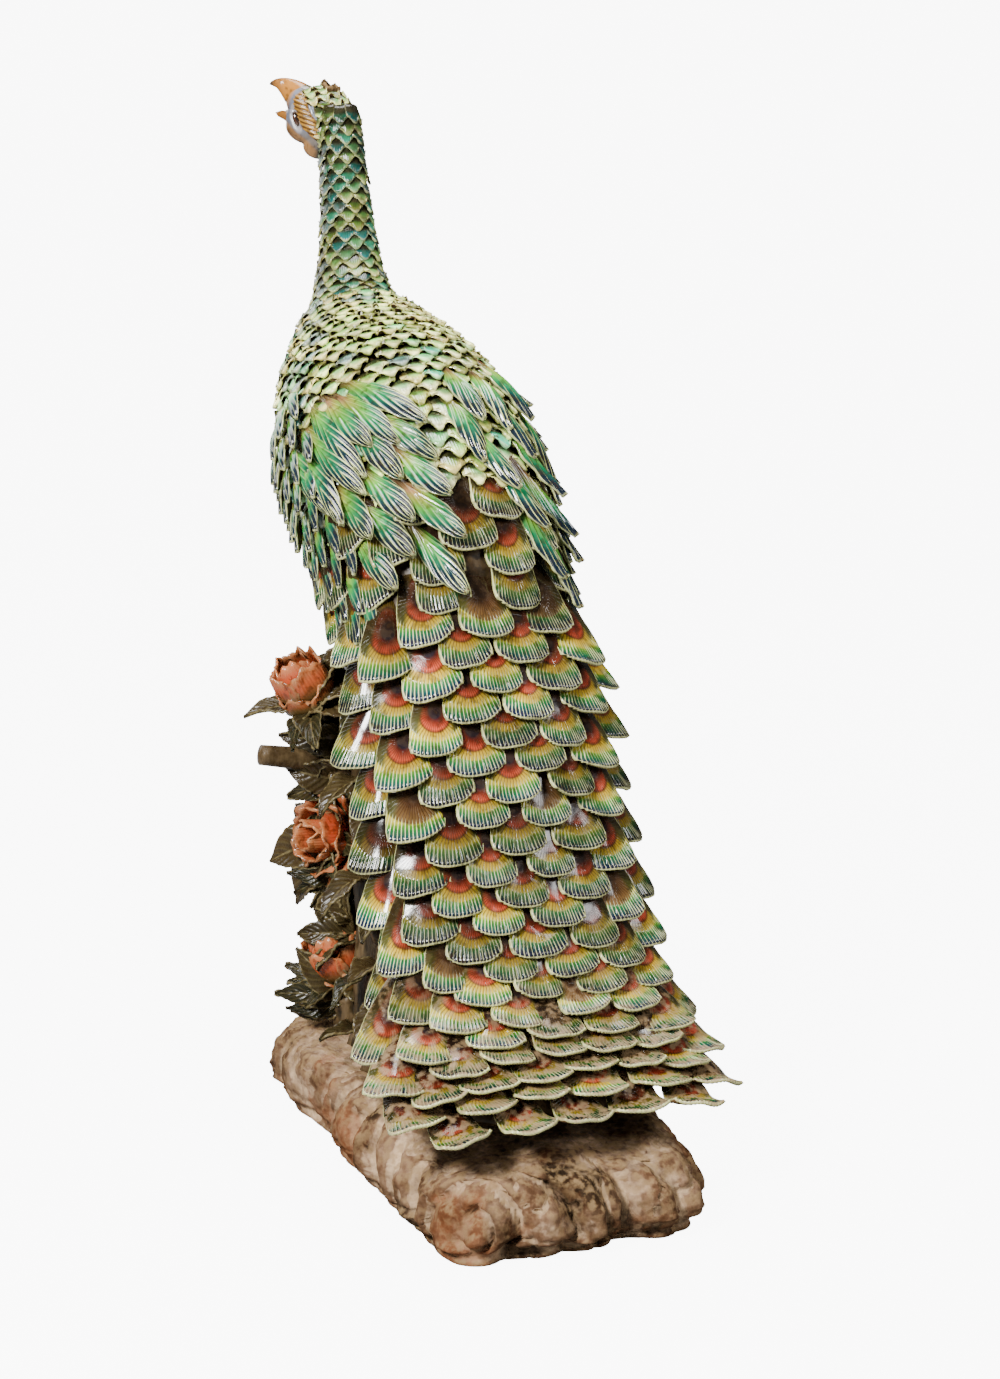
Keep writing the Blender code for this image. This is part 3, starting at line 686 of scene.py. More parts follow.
NECK_END, BACK_END = 0.236, 0.608
for scale_name, rings, lift, dome, thick in (  # rings: first, last, pitch, widths, brightness, odds
    (
        "neck_scales", (0.0, NECK_END, 0.0118, (0.0160, 0.0215), (0.36, 0.72), NECK_ODDS),
        0.0068, 0.0018, 0.0024,
    ),
    (
        "back_scales", (NECK_END, BACK_END, 0.0155, (0.0235, 0.0300), (1.50, 2.10), BACK_ODDS),
        0.0125, 0.0034, 0.0044,
    ),
):
    rows = scale_rows(*rings)
    scales_laid = lay_scales(rows, lift, dome)
    copies(scale_name, 6, 5, scales_laid, rows[:, 4:], thick, scale_finish, under_finish)


# The wings: long pointed feathers, each rolled thin, carved with slanting barbs and laid
# over the flank from the shoulder down, with small plain ones hanging under them.

LEFT_WING = [  # along and degrees of the root, then of the tip
    (0.448, 50, 0.542, 78), (0.459, 44, 0.554, 64), (0.453, 38, 0.548, 52), (0.448, 30, 0.573, 44),
    (0.465, 22, 0.592, 42), (0.488, 18, 0.611, 28), (0.542, 52, 0.592, 60), (0.542, 66, 0.579, 78),
    (0.560, 62, 0.624, 78), (0.573, 46, 0.636, 60), (0.592, 60, 0.660, 80), (0.598, 38, 0.667, 56),
    (0.642, 60, 0.709, 76), (0.470, 8, 0.585, 20), (0.560, 26, 0.640, 40), (0.630, 30, 0.690, 44),
]
RIGHT_WING = [
    (0.465, 98, 0.542, 104), (0.471, 114, 0.542, 120), (0.453, 130, 0.500, 146), (0.542, 96, 0.585, 100),
    (0.530, 122, 0.567, 132), (0.573, 104, 0.617, 112), (0.560, 132, 0.605, 144), (0.605, 116, 0.648, 126),
    (0.605, 138, 0.636, 156), (0.648, 126, 0.691, 136), (0.470, 146, 0.560, 158), (0.500, 160, 0.600, 170),
    (0.590, 150, 0.660, 160), (0.650, 146, 0.715, 152),
]


BARB_PITCH = 0.0064
BARB_SLOPE = 0.20
LEAST_FEATHER = 0.108
WING_HALF = 0.0160
SHAFT_HEIGHT = 0.0010
FLANK_HALF = 0.0105
FLANK_BARB_HALF = 0.0115


def stand(root, tip, outward, rise, wide, high):
    """Points of tiles that run from root to tip, wide aside and high off that line."""
    run = tip - root
    ahead = unit(run)
    up = unit(outward - ahead * (outward * ahead).sum(1)[:, None])
    across = np.cross(ahead, up)
    return (
        root[:, None] + run[:, None] * rise[..., None]
        + across[:, None] * wide[..., None] + up[:, None] * high[..., None]
    )


FEATHER_FORM = (0, 0.2, 0.42, 0.62, 0.80, 0.92, 1.0), (0.40, 0.66, 0.95, 1.0, 0.78, 0.47, 0.12)


def feather_size(rows):
    return np.linalg.norm(torso.at(rows[:, 0], rows[:, 1]) - torso.at(rows[:, 2], rows[:, 3]), axis=1)


def lay_feathers(rows, half, least, lifts, barb):
    """rows of root along, root degrees, tip along, tip degrees, lift, luck."""
    rows = np.array(rows, float)
    hidden = np.maximum(0.22, least / feather_size(rows) - 1)
    start = rows[:, 0] - (rows[:, 2] - rows[:, 0]) * hidden
    swing = rows[:, 1] - (rows[:, 3] - rows[:, 1]) * hidden
    root = torso.at(start, swing, lifts[0] + 0.5 * np.maximum(rows[:, 4], 0))
    tip = torso.at(rows[:, 2], rows[:, 3], lifts[1] + rows[:, 4])
    middle = (start + rows[:, 2]) / 2, (swing + rows[:, 3]) / 2
    centre = torso.at(*middle, (lifts[0] + lifts[1]) / 2 + 0.003)
    facing = torso.outward(*middle)
    bulge = ((centre - (root + tip) / 2) * facing).sum(1)[:, None]
    long = np.linalg.norm(tip - root, axis=1)[:, None]
    luck = rows[:, 5, None]

    def lay(side, rise):
        grow = np.interp(rise, *FEATHER_FORM)
        slant = (np.abs(side) * half - BARB_SLOPE * rise * long) / BARB_PITCH
        ridge = np.cos(2 * math.pi * (slant + luck))
        show = np.interp(rise, (0.15, 0.4, 0.97, 1), (0, 1, 1, 0.4))
        show = show * np.interp(np.abs(side), (0, 0.12), (0, 1))
        high = bulge * np.sin(math.pi * rise) + half * (0.26 - 0.40 * side**2)
        high = high + barb * ridge * show + SHAFT_HEIGHT * np.exp(-((side / 0.07) ** 2))
        high = high + 0.10 * half * side * (luck - 0.5)
        return stand(root, tip, facing, rise + 0 * bulge, half * grow * side + 0 * bulge, high)

    return lay


def feather_paint(wires):
    _, across, along = pattern_spot(wires)
    marks, luck = mark_of(wires)
    size, hue, broad = wires.split(marks)
    long = wires.line(size, 0.10, 0.07)
    slant = wires.times(across, wires.times(broad, 0.02))
    slant = wires.calc("SUBTRACT", slant, wires.times(wires.times(along, long), BARB_SLOPE))
    slant = wires.calc("ADD", wires.calc("DIVIDE", slant, BARB_PITCH), luck)
    ridge = wires.calc("COSINE", wires.times(slant, 2 * math.pi))
    reach = wires.line(wires.calc("POWER", across, 1.6), 0.26, along)
    reach = wires.line(hue, 0.20, reach)
    green = wires.ramp(
        reach,
        [
            (0.28, (0.34, 0.17, 0.070)), (0.42, (0.22, 0.25, 0.030)), (0.57, (0.080, 0.28, 0.030)),
            (0.72, (0.003, 0.16, 0.050)), (0.90, (0.002, 0.060, 0.052)), (1.00, (0.003, 0.010, 0.034)),
        ],
    )
    crest = wires.times(wires.fade(ridge, 0.58, 1.0), wires.fade(reach, 0.62, 1.08, 0.14, 0.95))
    crest = wires.times(crest, wires.fade(broad, 0.58, 0.78, 0.35, 1.0))
    trough = wires.times(wires.fade(ridge, 0.6, -0.4), wires.fade(reach, 0.66, 1.0))
    green = wires.blend(wires.times(trough, 0.8), green, (0.003, 0.012, 0.018))
    colour = wires.blend(wires.times(crest, 0.78), green, (0.76, 0.82, 0.28))
    # Painted shade: the feather darkens toward its root, where the feathers above overlap it.
    colour = wires.blend(wires.fade(along, 0.38, 0.12, 0.0, 0.9), colour, (0.012, 0.008, 0.003))
    edge = wires.calc("MAXIMUM", wires.fade(across, 0.90, 0.98), wires.fade(along, 0.965, 0.99))
    colour = wires.blend(wires.times(edge, 0.6), colour, (0.58, 0.62, 0.26))
    worn = wires.times(wires.calc("MAXIMUM", crest, edge), 0.14)
    relief = wires.times(ridge, 0.22)
    return {"Color": colour, "Worn": worn, "Dust": 0.06, "Relief": relief, "Matt": 0.07}


feather_finish = fired("wing_glaze", feather_paint, 0.5)


def feather_marks(rows, half, least):
    """Each feather's length, hue and half width as shares, and its luck."""
    rows = np.array(rows, float)
    size = np.maximum(1.22 * feather_size(rows), least)
    return np.stack([(size - 0.07) / 0.10, chance.random(len(rows)), 0 * size + half / 0.02, rows[:, 5]], 1)


for wing_name, listed in (("left_wing", LEFT_WING), ("right_wing", RIGHT_WING)):
    plumes = []
    for k, row in enumerate(listed):
        plumes.append((*row, 0.014 * (row[2] > 0.600) - 0.005 * (k % 2), chance.random()))
    copies(
        wing_name, 30, 40, lay_feathers(plumes, WING_HALF, LEAST_FEATHER, (0.000, 0.022), 0.0008),
        feather_marks(plumes, WING_HALF, LEAST_FEATHER), 0.0030, feather_finish, under_finish,
    )

flank = []
for row in range(9):
    for column in range(5):
        for side in (1, -1):
            turned = 20.0 - 13.0 * (column + 0.5 * (row % 2))
            degrees = turned if side > 0 else 180.0 - turned
            begin = 0.395 + 0.034 * row + chance.normal(0, 0.002)
            lift = chance.uniform(-0.002, 0.004)
            tip = (begin + 0.062, degrees + side * 4.0)
            flank.append((begin, degrees, *tip, lift, chance.random()))
copies(
    "flank_feathers", 8, 12, lay_feathers(flank, FLANK_HALF, 0.0, (0.000, 0.025), 0.0003),
    feather_marks(flank, FLANK_BARB_HALF, 0.0), 0.0026, feather_finish, under_finish,
)


# The train: rows of broad fans with a ribbed comb along their rounded edge and an eye of
# coral, yellow and blue, each pressed into a mould and set over the two below it.

FAN_PITCH = 0.0290
FAN_ROWS = 25
FAN_LENGTH = 0.090
FAN_HALF = 0.0302
FAN_LIFT = 0.0190
FAN_FLARE = 0.013  # how much further the fans at the sides stand off
FAN_CORNERS_BACK = 0.11
FAN_RIBS = 7
FAN_EYE_OFF, FAN_EYE_REACH = 52.0, 42.0  # the eye's middle from the rounded edge and its reach, mm
FAN_ROWS_ON_BACK = 4
FAN_FACING = 0.62  # how far a fan at the side turns its face with the body
FIRST_FAN = 0.634
TRAIN_ARC = (-38.0, 210.0)
TRAIN_END_ARC = (15.0, 168.0)

fans = []
for row in range(FAN_ROWS):
    on_back = row < FAN_ROWS_ON_BACK
    skin = torso if on_back else train
    tip = FIRST_FAN + row * FAN_PITCH if on_back else (row + 1.15) * FAN_PITCH
    low = row / (FAN_ROWS - 1)
    wrap = [np.interp(low, (0.60, 0.86), ends) for ends in zip(TRAIN_ARC, TRAIN_END_ARC)]
    width = skin.arc(tip, *wrap, [0.0])[1]
    count = max(5, round(width / np.interp(low, (0.7, 0.9), (0.0735, 0.062))))
    shares = (np.arange(count) + 0.5) / count if row % 2 == 0 else np.arange(count + 1) / count
    for degrees in skin.arc(tip, *wrap, shares)[0]:
        fans.append((
            on_back, tip + chance.normal(0, 0.0022), degrees, degrees + chance.normal(0, 1.6),
            FAN_HALF * chance.uniform(0.93, 1.09), FAN_LENGTH * chance.uniform(0.95, 1.05),
            chance.normal(0, 0.0014), chance.normal(0, 0.08), low, chance.random(), chance.random(),
        ))
fans = np.array(fans)


def lay_fans(rows):
    on_back, tip_at, turn, swing, half, long, lift, roll, low, luck = rows.T[:10]
    sideways = np.cos(np.radians(turn))
    side_on = np.abs(sideways) ** 4
    flare = side_on * np.interp(low, (0, 0.15, 0.55, 0.74), (0.3, 1, 1, 0)) * (0.3 + 1.4 * luck)
    proud = (FAN_LIFT + FAN_FLARE * flare) * np.where(on_back > 0, 0.55, 1.0) + lift
    seats = []
    for skin in (train, torso):
        facing = skin.outward(tip_at - long * 0.5, 90 + FAN_FACING * (turn - 90))
        seats.append((skin.at(tip_at - long, turn, 0.001), skin.at(tip_at, swing, proud), facing))
    root, tip, facing = (np.where(on_back[:, None] > 0, back, plain) for plain, back in zip(*seats))
    half, long, roll, low = half[:, None], long[:, None], roll[:, None], low[:, None]
    droop = 0.10 + 0.22 * side_on[:, None]
    corner = (0.15 - 0.10 * low) * (sideways * np.abs(sideways))[:, None]
    luck = luck[:, None]

    def lay(side, rise):
        grow = np.interp(rise, (0, 0.25, 0.5, 0.75, 0.9, 1.0), (0.50, 0.74, 0.92, 1.0, 1.0, 0.94))
        back = FAN_CORNERS_BACK * np.abs(side) ** 3.0 * rise**4
        ridge = np.cos(2 * math.pi * FAN_RIBS * side) * np.interp(rise, (0.70, 0.80), (0, 1))
        high = -half * droop * side**2 + long * 0.030 * np.sin(math.pi * rise)
        curl = 0.24 + 2.6 * np.maximum(low - 0.72, 0)
        high = high + long * curl * np.maximum(rise - 0.62, 0) ** 1.5
        high = high + 0.0007 * ridge + roll * side * half
        high = high + 0.0014 * np.sin(5 * side + 6 * luck) * rise**2
        return stand(root, tip, facing, rise - back + corner * side * rise**3, half * grow * side, high)

    return lay


def fan_paint(wires):
    signed, across, along = pattern_spot(wires)
    marks, luck = mark_of(wires)
    hue, odd, low = wires.split(marks)
    off = wires.line(along, -88.0, 88.0)  # mm from the rounded edge
    comb_edge = wires.line(wires.calc("POWER", across, 2.0), 16.0, 16.5)
    past_comb = wires.calc("SUBTRACT", off, comb_edge)
    comb = wires.fade(past_comb, 1.5, -1.0)
    splay = wires.line(off, 0.010, 1.0)
    phase = wires.times(wires.times(signed, splay), 2 * math.pi * FAN_RIBS)
    rib = wires.calc("COSINE", wires.calc("ADD", phase, wires.times(luck, 0.8)))
    white = wires.times(wires.fade(rib, 0.62, 1.0), wires.fade(past_comb, 7.0, -3.0))
    depth = wires.line(hue, 6.0, wires.line(across, -4.0, off))
    water = wires.ramp(
        wires.calc("DIVIDE", depth, 25.0),
        [
            (0.20, (0.002, 0.008, 0.030)), (0.38, (0.001, 0.046, 0.046)), (0.60, (0.003, 0.125, 0.030)),
            (0.80, (0.080, 0.22, 0.014)), (0.97, (0.47, 0.40, 0.024)),
        ],
    )
    down = wires.calc("SUBTRACT", FAN_EYE_OFF, off)
    wide = wires.times(signed, 36.0)
    ring = wires.reach(wires.calc("ABSOLUTE", wide), wires.calc("ABSOLUTE", down))
    angle = wires.calc("ARCTAN2", wide, down)
    cut = wires.fade(wires.calc("COSINE", wires.times(angle, 46.0)), 0.35, 0.85)
    ring_share = wires.calc("DIVIDE", ring, FAN_EYE_REACH)
    eye = wires.ramp(
        ring_share,
        [
            (0.22, (0.005, 0.008, 0.024)), (0.30, (0.13, 0.010, 0.006)), (0.52, (0.56, 0.070, 0.030)),
            (0.60, (0.13, 0.035, 0.008)), (0.66, (0.50, 0.30, 0.018)), (0.86, (0.46, 0.37, 0.024)),
            (1.00, (0.14, 0.15, 0.018)),
        ],
    )
    brown = wires.ramp(
        ring_share,
        [
            (0.20, (0.008, 0.006, 0.006)), (0.40, (0.075, 0.032, 0.012)), (0.80, (0.14, 0.075, 0.020)),
            (1.0, (0.11, 0.11, 0.02)),
        ],
    )
    eye = wires.blend(wires.fade(odd, 0.86, 0.88), eye, brown)
    incised = wires.times(cut, wires.fade(ring, 11.0, 15.0))
    eye = wires.blend(wires.times(incised, 0.6), eye, (0.045, 0.012, 0.004))
    # Painted shade: darker toward the fan's root, under the fans above, and darker still in the top rows,
    # in the shade between the wings.
    root = wires.line(wires.fade(low, 0.20, 0.0), 0.35, wires.fade(off, 24.0, 58.0, 0.0, 0.85))
    flank_side = wires.fade(wires.line(off, 0.006, across), 0.72, 0.98)
    eye = wires.blend(flank_side, eye, (0.055, 0.060, 0.010))
    colour = wires.blend(comb, eye, water)
    tone = wires.line(wires.calc("POWER", luck, 1.8), 0.78, 0.24)
    # Lays the painted shade toward the root.
    colour = wires.blend(root, colour, (0.016, 0.007, 0.003))
    colour = wires.blend(wires.times(white, 0.78), colour, (0.94, 0.96, 0.48))
    colour = wires.blend(1.0, colour, tone, "MULTIPLY")
    edge = wires.calc("MAXIMUM", wires.fade(across, 0.965, 0.99), wires.fade(off, 1.9, 0.9))
    colour = wires.blend(wires.times(edge, 0.7), colour, (0.60, 0.60, 0.25))
    relief = wires.times(wires.times(rib, comb), 0.18)
    relief = wires.calc("SUBTRACT", relief, wires.times(incised, 0.25))
    dust = wires.line(wires.fade(low, 0.66, 0.94), 0.80, 0.08)
    worn = wires.times(wires.calc("MAXIMUM", white, edge), 0.14)
    return {"Color": colour, "Worn": worn, "Dust": dust, "Relief": relief, "Matt": 0.08}


fan_finish = fired("fan_glaze", fan_paint, 0.45)
HUE, ODD, LOW = 9, 10, 8  # columns of fans
fan_marks = np.stack([fans[:, HUE], fans[:, ODD], fans[:, LOW], chance.random(len(fans))], 1)
upper = fans[:, LOW] < 0.5
for train_name, chosen in (("train_fans_upper", upper), ("train_fans_lower", ~upper)):
    fans_laid = lay_fans(fans[chosen])
    copies(train_name, 28, 16, fans_laid, fan_marks[chosen], 0.0034, fan_finish, under_finish)


# The head: a solid knob of clay with the face drawn in slip, an open beak, a ribbed ochre
# patch behind each eye, and a broken socket where the crest was pegged in.

TURN, LIFT = math.radians(50.0), math.radians(27.0)
FRONT = np.array([math.sin(TURN) * math.cos(LIFT), -math.cos(TURN) * math.cos(LIFT), math.sin(LIFT)])
LEFT = np.array([math.cos(TURN), math.sin(TURN), 0.0])
UP = np.cross(FRONT, LEFT)
HEAD = np.array([0.01436, -0.38841, 0.96940]) * BIRD_HEIGHT + (0, 0, ROCK_HEIGHT)
AXES = np.stack([FRONT, LEFT, UP])
EYE_AHEAD, EYE_ABOVE = 0.0238, -0.0139
EYE_LEAN = 0.707  # the sine of 45 degrees
HOLE_AHEAD, HOLE_REACH = 0.0055, 0.0085
SLIP_SHADE = 0.58
SKULL_UP = (0.0, 0.0, 0.003)


def on_head(local):
    """Points given as ahead, aside and above the middle of the skull."""
    return np.asarray(local, float) @ AXES + HEAD


def lump(skin, middle, sizes, tilt):
    """A rounded lump of clay pressed on to the head."""
    place = Matrix.Translation(Vector(on_head(middle))) @ Matrix(AXES.T).to_4x4()
    place = place @ Matrix.Rotation(-math.radians(tilt), 4, "Y") @ Matrix.Diagonal((*sizes, 1.0))
    bmesh.ops.create_uvsphere(skin, u_segments=48, v_segments=32, radius=1.0, matrix=place)


knob = bmesh.new()
for middle, half_sizes, tilt in (
    (SKULL_UP, (0.038, 0.0215, 0.032), 0),
    ((0.010, 0.0, -0.014), (0.034, 0.0190, 0.022), 0),
    ((0.030, 0.0, 0.006), (0.022, 0.0155, 0.021), 0),
    ((0.012, 0.0, -0.021), (0.027, 0.0175, 0.0185), -12),
    ((-0.014, 0.0, -0.029), (0.024, 0.0155, 0.0175), -35),
    ((0.009, 0.0165, -0.006), (0.030, 0.0065, 0.0115), 30),
    ((0.009, -0.0165, -0.006), (0.030, 0.0065, 0.0115), 30),
):
    lump(knob, middle, half_sizes, tilt)
rough_head = as_mesh("rough_head", knob)
head_maker = add_object("head_maker", rough_head)
remesh = head_maker.modifiers.new("melt", "REMESH")
remesh.mode = "VOXEL"
remesh.voxel_size = 0.0011
melt = head_maker.modifiers.new("soften", "SMOOTH")
melt.iterations = 6
graph = bpy.context.evaluated_depsgraph_get()
head_mesh = bpy.data.meshes.new_from_object(head_maker.evaluated_get(graph))
bpy.data.objects.remove(head_maker)
bpy.data.meshes.remove(rough_head)
head_mesh.name = "head"
points, normals = of_vertices(head_mesh, "co"), of_vertices(head_mesh, "normal")
ahead, aside, above = ((points - HEAD) @ AXES.T).T


def soft(value, low, high):
    share = np.clip((value - low) / (high - low), 0, 1)
    return share * share * (3 - 2 * share)


down_band = ((0.0377 - ahead) * 0.866 + (0.0076 - above) * 0.5) / 0.0627
off_band = (ahead - 0.0085) * 0.5 - (above + 0.0060) * 0.866 + 0.011 * (2 * down_band - 1) ** 2 - 0.003
in_band = soft(0.0105 - np.abs(off_band), 0, 0.0018) * soft(np.abs(aside), 0.008, 0.011)
in_band *= soft(down_band, -0.04, 0.03) * soft(1.06 - down_band, 0, 0.06)
rib_wave = np.cos(2 * math.pi * (above + 0.105 * ahead) / 0.0046)
eye_along = (ahead - EYE_AHEAD + above - EYE_ABOVE) * EYE_LEAN
eye_over = (above - EYE_ABOVE - ahead + EYE_AHEAD) * EYE_LEAN
eye_far = np.hypot(eye_along / 0.0105, eye_over / 0.0048) + 10 * (np.abs(aside) < 0.006)
hole_far = np.hypot(ahead - HOLE_AHEAD, aside)
in_hole = soft(0.0075 - hole_far, 0, 0.0015) * (above > 0.02)
height_step = 0.0009 * in_band * rib_wave + 0.0012 * in_band - 0.0016 * soft(1.5 - eye_far, 0, 0.5)
points += normals * height_step[:, None] - UP * (0.011 * in_hole)[:, None]
head_mesh.vertices.foreach_set("co", points.ravel())
skin_tone = np.tile((0.20, 0.22, 0.28), (len(points), 1))
for share, slip_tone in (  # each over the ones before it, from the throat to the nape
    (soft(-above - 0.5 * ahead, 0.012, 0.030), (0.20, 0.17, 0.15)),
    (soft(-above + 0.25 * ahead, 0.0290, 0.0345), (0.38, 0.19, 0.07)),
    (soft(ahead, 0.038, 0.046), (0.46, 0.21, 0.06)),
    (soft(1.9 - eye_far, 0, 0.5), (0.50, 0.46, 0.47)),
    (in_band, (0.50, 0.25, 0.035)),
    (in_band * soft(-rib_wave, -0.1, 0.7), (0.10, 0.035, 0.006)),
    (soft(above, 0.016, 0.024), (0.10, 0.09, 0.05)),
    # painted shade inside the crest's hole
    (in_hole, (0.030, 0.018, 0.008)),
    (soft(-ahead, 0.012, 0.02), (0.03, 0.04, 0.03)),
):
    skin_tone += (np.array(slip_tone) - skin_tone) * share[:, None]
slip = head_mesh.attributes.new("slip", "FLOAT_COLOR", "POINT")
slip_colours = np.hstack([SLIP_SHADE * skin_tone, np.ones((len(points), 1))])
slip.data.foreach_set("color", slip_colours.astype(np.float32).ravel())


def face_paint(wires):
    relief = wires.times(wires.grain(wires.place(), 260.0), 0.4)
    return {"Color": wires.stored("slip"), "Dust": 0.10, "Relief": relief, "Matt": 0.16}


head_mesh.materials.clear()
piece(head_mesh, fired("face_slip", face_paint, 0.4))


def beak_shape(stations):
    stations = np.array(stations)

    def shape(angle, rise):
        ahead, above, wide, high = read_off(rise, np.linspace(0, 1, len(stations)), stations)
        swell = np.where(np.sin(angle) > 0, np.abs(np.sin(angle)), -np.abs(np.sin(angle)) ** 0.7)
        nostril = sum(np.exp(-((angle - turned) / 0.30) ** 2) for turned in (0.35, math.pi - 0.35))
        nostril = nostril * np.exp(-((ahead - 0.0600) / 0.0035) ** 2)
        pinch = 1 - 0.30 * nostril * (wide > 0.003)
        return on_head(np.stack([ahead, wide * np.cos(angle) * pinch, above + high * swell], 1))

    return shape


def beak_paint(wires):
    tip = tuple(-on_head((0.078, 0.0, 0.006)))
    place = wires.node("Mapping", {"Vector": wires.place(), "Location": tip})
    near = wires.node("VectorMath", {0: place}, 1, operation="LENGTH")
    tone = wires.line(wires.grain(wires.place(), 130.0), 0.010, near)
    colour = wires.ramp(
        wires.calc("DIVIDE", tone, 0.05),
        [
            (0.12, (0.06, 0.045, 0.03)), (0.24, (0.20, 0.080, 0.018)), (0.7, (0.29, 0.115, 0.018)),
            (1.0, (0.25, 0.095, 0.016)),
        ],
    )
    return {"Color": colour, "Dust": 0.05, "Matt": 0.20}


UPPER_BEAK = [  # ahead, above, half width, half height
    (0.018, 0.006, 0.0, 0.0), (0.020, 0.006, 0.0155, 0.018), (0.030, 0.0075, 0.0150, 0.0188),
    (0.040, 0.0088, 0.0125, 0.0178), (0.050, 0.0102, 0.0095, 0.0150), (0.060, 0.0118, 0.0068, 0.0105),
    (0.068, 0.0118, 0.0048, 0.0068), (0.074, 0.0095, 0.0030, 0.0046), (0.078, 0.0066, 0.0014, 0.0022),
    (0.0788, 0.0060, 0.0, 0.0),
]
LOWER_BEAK = [
    (0.018, -0.018, 0.0, 0.0), (0.020, -0.018, 0.0125, 0.0105), (0.032, -0.0182, 0.0105, 0.0080),
    (0.042, -0.0185, 0.0085, 0.0060), (0.051, -0.0205, 0.0058, 0.0042), (0.0575, -0.0220, 0.0, 0.0),
]
TONGUE = [
    (0.030, -0.0135, 0.0, 0.0), (0.034, -0.0135, 0.0045, 0.0020), (0.042, -0.0135, 0.0030, 0.0016),
    (0.047, -0.0130, 0.0, 0.0),
]
beak_forms = [beak_shape(stations) for stations in (UPPER_BEAK, LOWER_BEAK, TONGUE)]
piece(rolled("beak", 40, 44, *beak_forms), fired("beak_slip", beak_paint, 0.3))


EYE_HALF = (0.0092, 0.0038, 0.0035)
EYE_OUT = 0.0165


def eye_shape(aside):
    def shape(angle, rise):
        bow = math.pi * rise
        high = np.cos(angle) * np.sin(bow) * EYE_HALF[0]
        wide = np.sin(angle) * np.sin(bow) * EYE_HALF[1]
        ahead = EYE_AHEAD + (high - wide) * EYE_LEAN
        above = EYE_ABOVE + (high + wide) * EYE_LEAN
        out = aside * (EYE_OUT - EYE_HALF[2] * np.cos(bow))
        return on_head(np.stack([ahead, out, above], 1))

    return shape


eye_paint = plain_paint((0.008, 0.007, 0.008), (0.07, 0.028, 0.014), 160.0, 0.04)
piece(rolled("eyes", 28, 16, eye_shape(1), eye_shape(-1)), fired("eye_glaze", eye_paint, 0.9))


def socket_shape(angle, rise):
    """The torn lip of the crest's socket."""
    bow = 2 * math.pi * (rise % 1.0)
    torn = 1 + 0.22 * np.sin(3 * angle + 1) + 0.18 * np.sin(7 * angle) + 0.1 * np.sin(13 * angle + 2)
    reach = 0.0095 + 0.0028 * np.cos(bow)
    above = 0.0335 + (0.0050 * np.sin(bow) + 0.0022) * torn
    ahead = HOLE_AHEAD + reach * np.cos(angle) * 1.1
    return on_head(np.stack([ahead, reach * np.sin(angle), above], 1))


broken_paint = plain_paint((0.035, 0.022, 0.010), (0.16, 0.10, 0.045), 220.0, 0.5)
piece(rolled("crest_socket", 60, 14, socket_shape), fired("broken_clay", broken_paint, 0.0))

HEAD_HALF = np.array([0.0385, 0.0220, 0.0325])
POLE, OVER = np.array([0.766, 0.0, 0.643]), np.array([-0.643, 0.0, 0.766])
FACE_EDGE = (  # places ahead, and how far up the face goes there
    (-0.030, -0.020, -0.0157, -0.0013, 0.015, 0.036),
    (-0.030, -0.026, -0.0144, 0.0060, 0.014, 0.0195),
)


def lead_of(tilt, swing):
    """The way from the skull's middle: tilt from its pole at the brow, swing around it."""
    tilt, swing = np.radians(tilt)[..., None], np.radians(swing)[..., None]
    way = np.sin(swing) * (0.0, 1.0, 0.0) + np.cos(swing) * OVER
    return np.cos(tilt) * POLE + np.sin(tilt) * way


CROWN_TILTS = range(34, 166, 16)  # degrees of the rings from the brow
CROWN_WIDTH, CROWN_HALF = 0.0150, 0.0082
SKULL_RADIUS = 0.034
crown = []
for ring, tilt in enumerate(CROWN_TILTS):
    radius = SKULL_RADIUS * math.sin(math.radians(tilt))
    count = max(6, round(2 * math.pi * radius / CROWN_WIDTH))
    for k in range(count):
        swing = 360.0 * (k + 0.5 * (ring % 2)) / count
        seat = lead_of(tilt, swing) * HEAD_HALF + SKULL_UP
        on_face = seat[2] < np.interp(seat[0], *FACE_EDGE)
        at_hole = math.hypot(seat[0] - HOLE_AHEAD, seat[1]) < HOLE_REACH and seat[2] > 0.02
        if not (on_face or at_hole):
            crown.append((tilt, swing, chance.random()))
crown = np.array(crown)


def skull_at(tilt, swing, proud):
    lead = lead_of(tilt, swing)
    return on_head(lead * HEAD_HALF + SKULL_UP + unit(lead / HEAD_HALF) * proud[..., None])


CROWN_LENGTH = 33.0  # degrees of the skull that one crown feather covers


def lay_crown(side, rise):
    tilt, swing, luck = (crown[:, k, None] for k in range(3))
    grow = np.interp(rise, (0, 0.3, 0.6, 0.85, 1.0), (0.80, 0.97, 1.0, 0.90, 0.62))
    place = tilt + 9 - CROWN_LENGTH * (1 - rise + 0.42 * side**2 * rise**3)
    spread = np.degrees(CROWN_HALF * grow * side / (0.032 * np.sin(np.radians(np.clip(tilt, 40, 140)))))
    proud = 0.0040 * rise**1.3 * (0.8 + 0.4 * luck) + 0.0012 * (1 - side**2) * np.sin(math.pi * rise)
    proud = proud + 0.0065 * np.interp(tilt, (100, 146), (0, 1)) * rise  # over the neck's first ring
    return skull_at(np.maximum(place, 4.0), swing + spread, proud)


crown_tints = SCALE_TINTS[chance.choice(len(SCALE_TINTS), len(crown), p=BACK_ODDS)]
crown_tints = crown_tints * chance.uniform(0.9, 1.3, (len(crown), 1))
crown_marks = np.hstack([crown_tints, crown[:, 2:]])
copies("crown_scales", 6, 5, lay_crown, crown_marks, 0.0020, scale_finish, under_finish)


# The legs and toes: two short scaled shanks, hidden by the breast, that grip the stump.

LEG_SPREAD, FOOT_BACK, KNEE_BACK, KNEE_UP = 0.038, -0.232, -0.202, 0.70
TOES = ((-35.0, 0.036), (0.0, 0.042), (35.0, 0.036), (180.0, 0.024))  # degrees aside, length


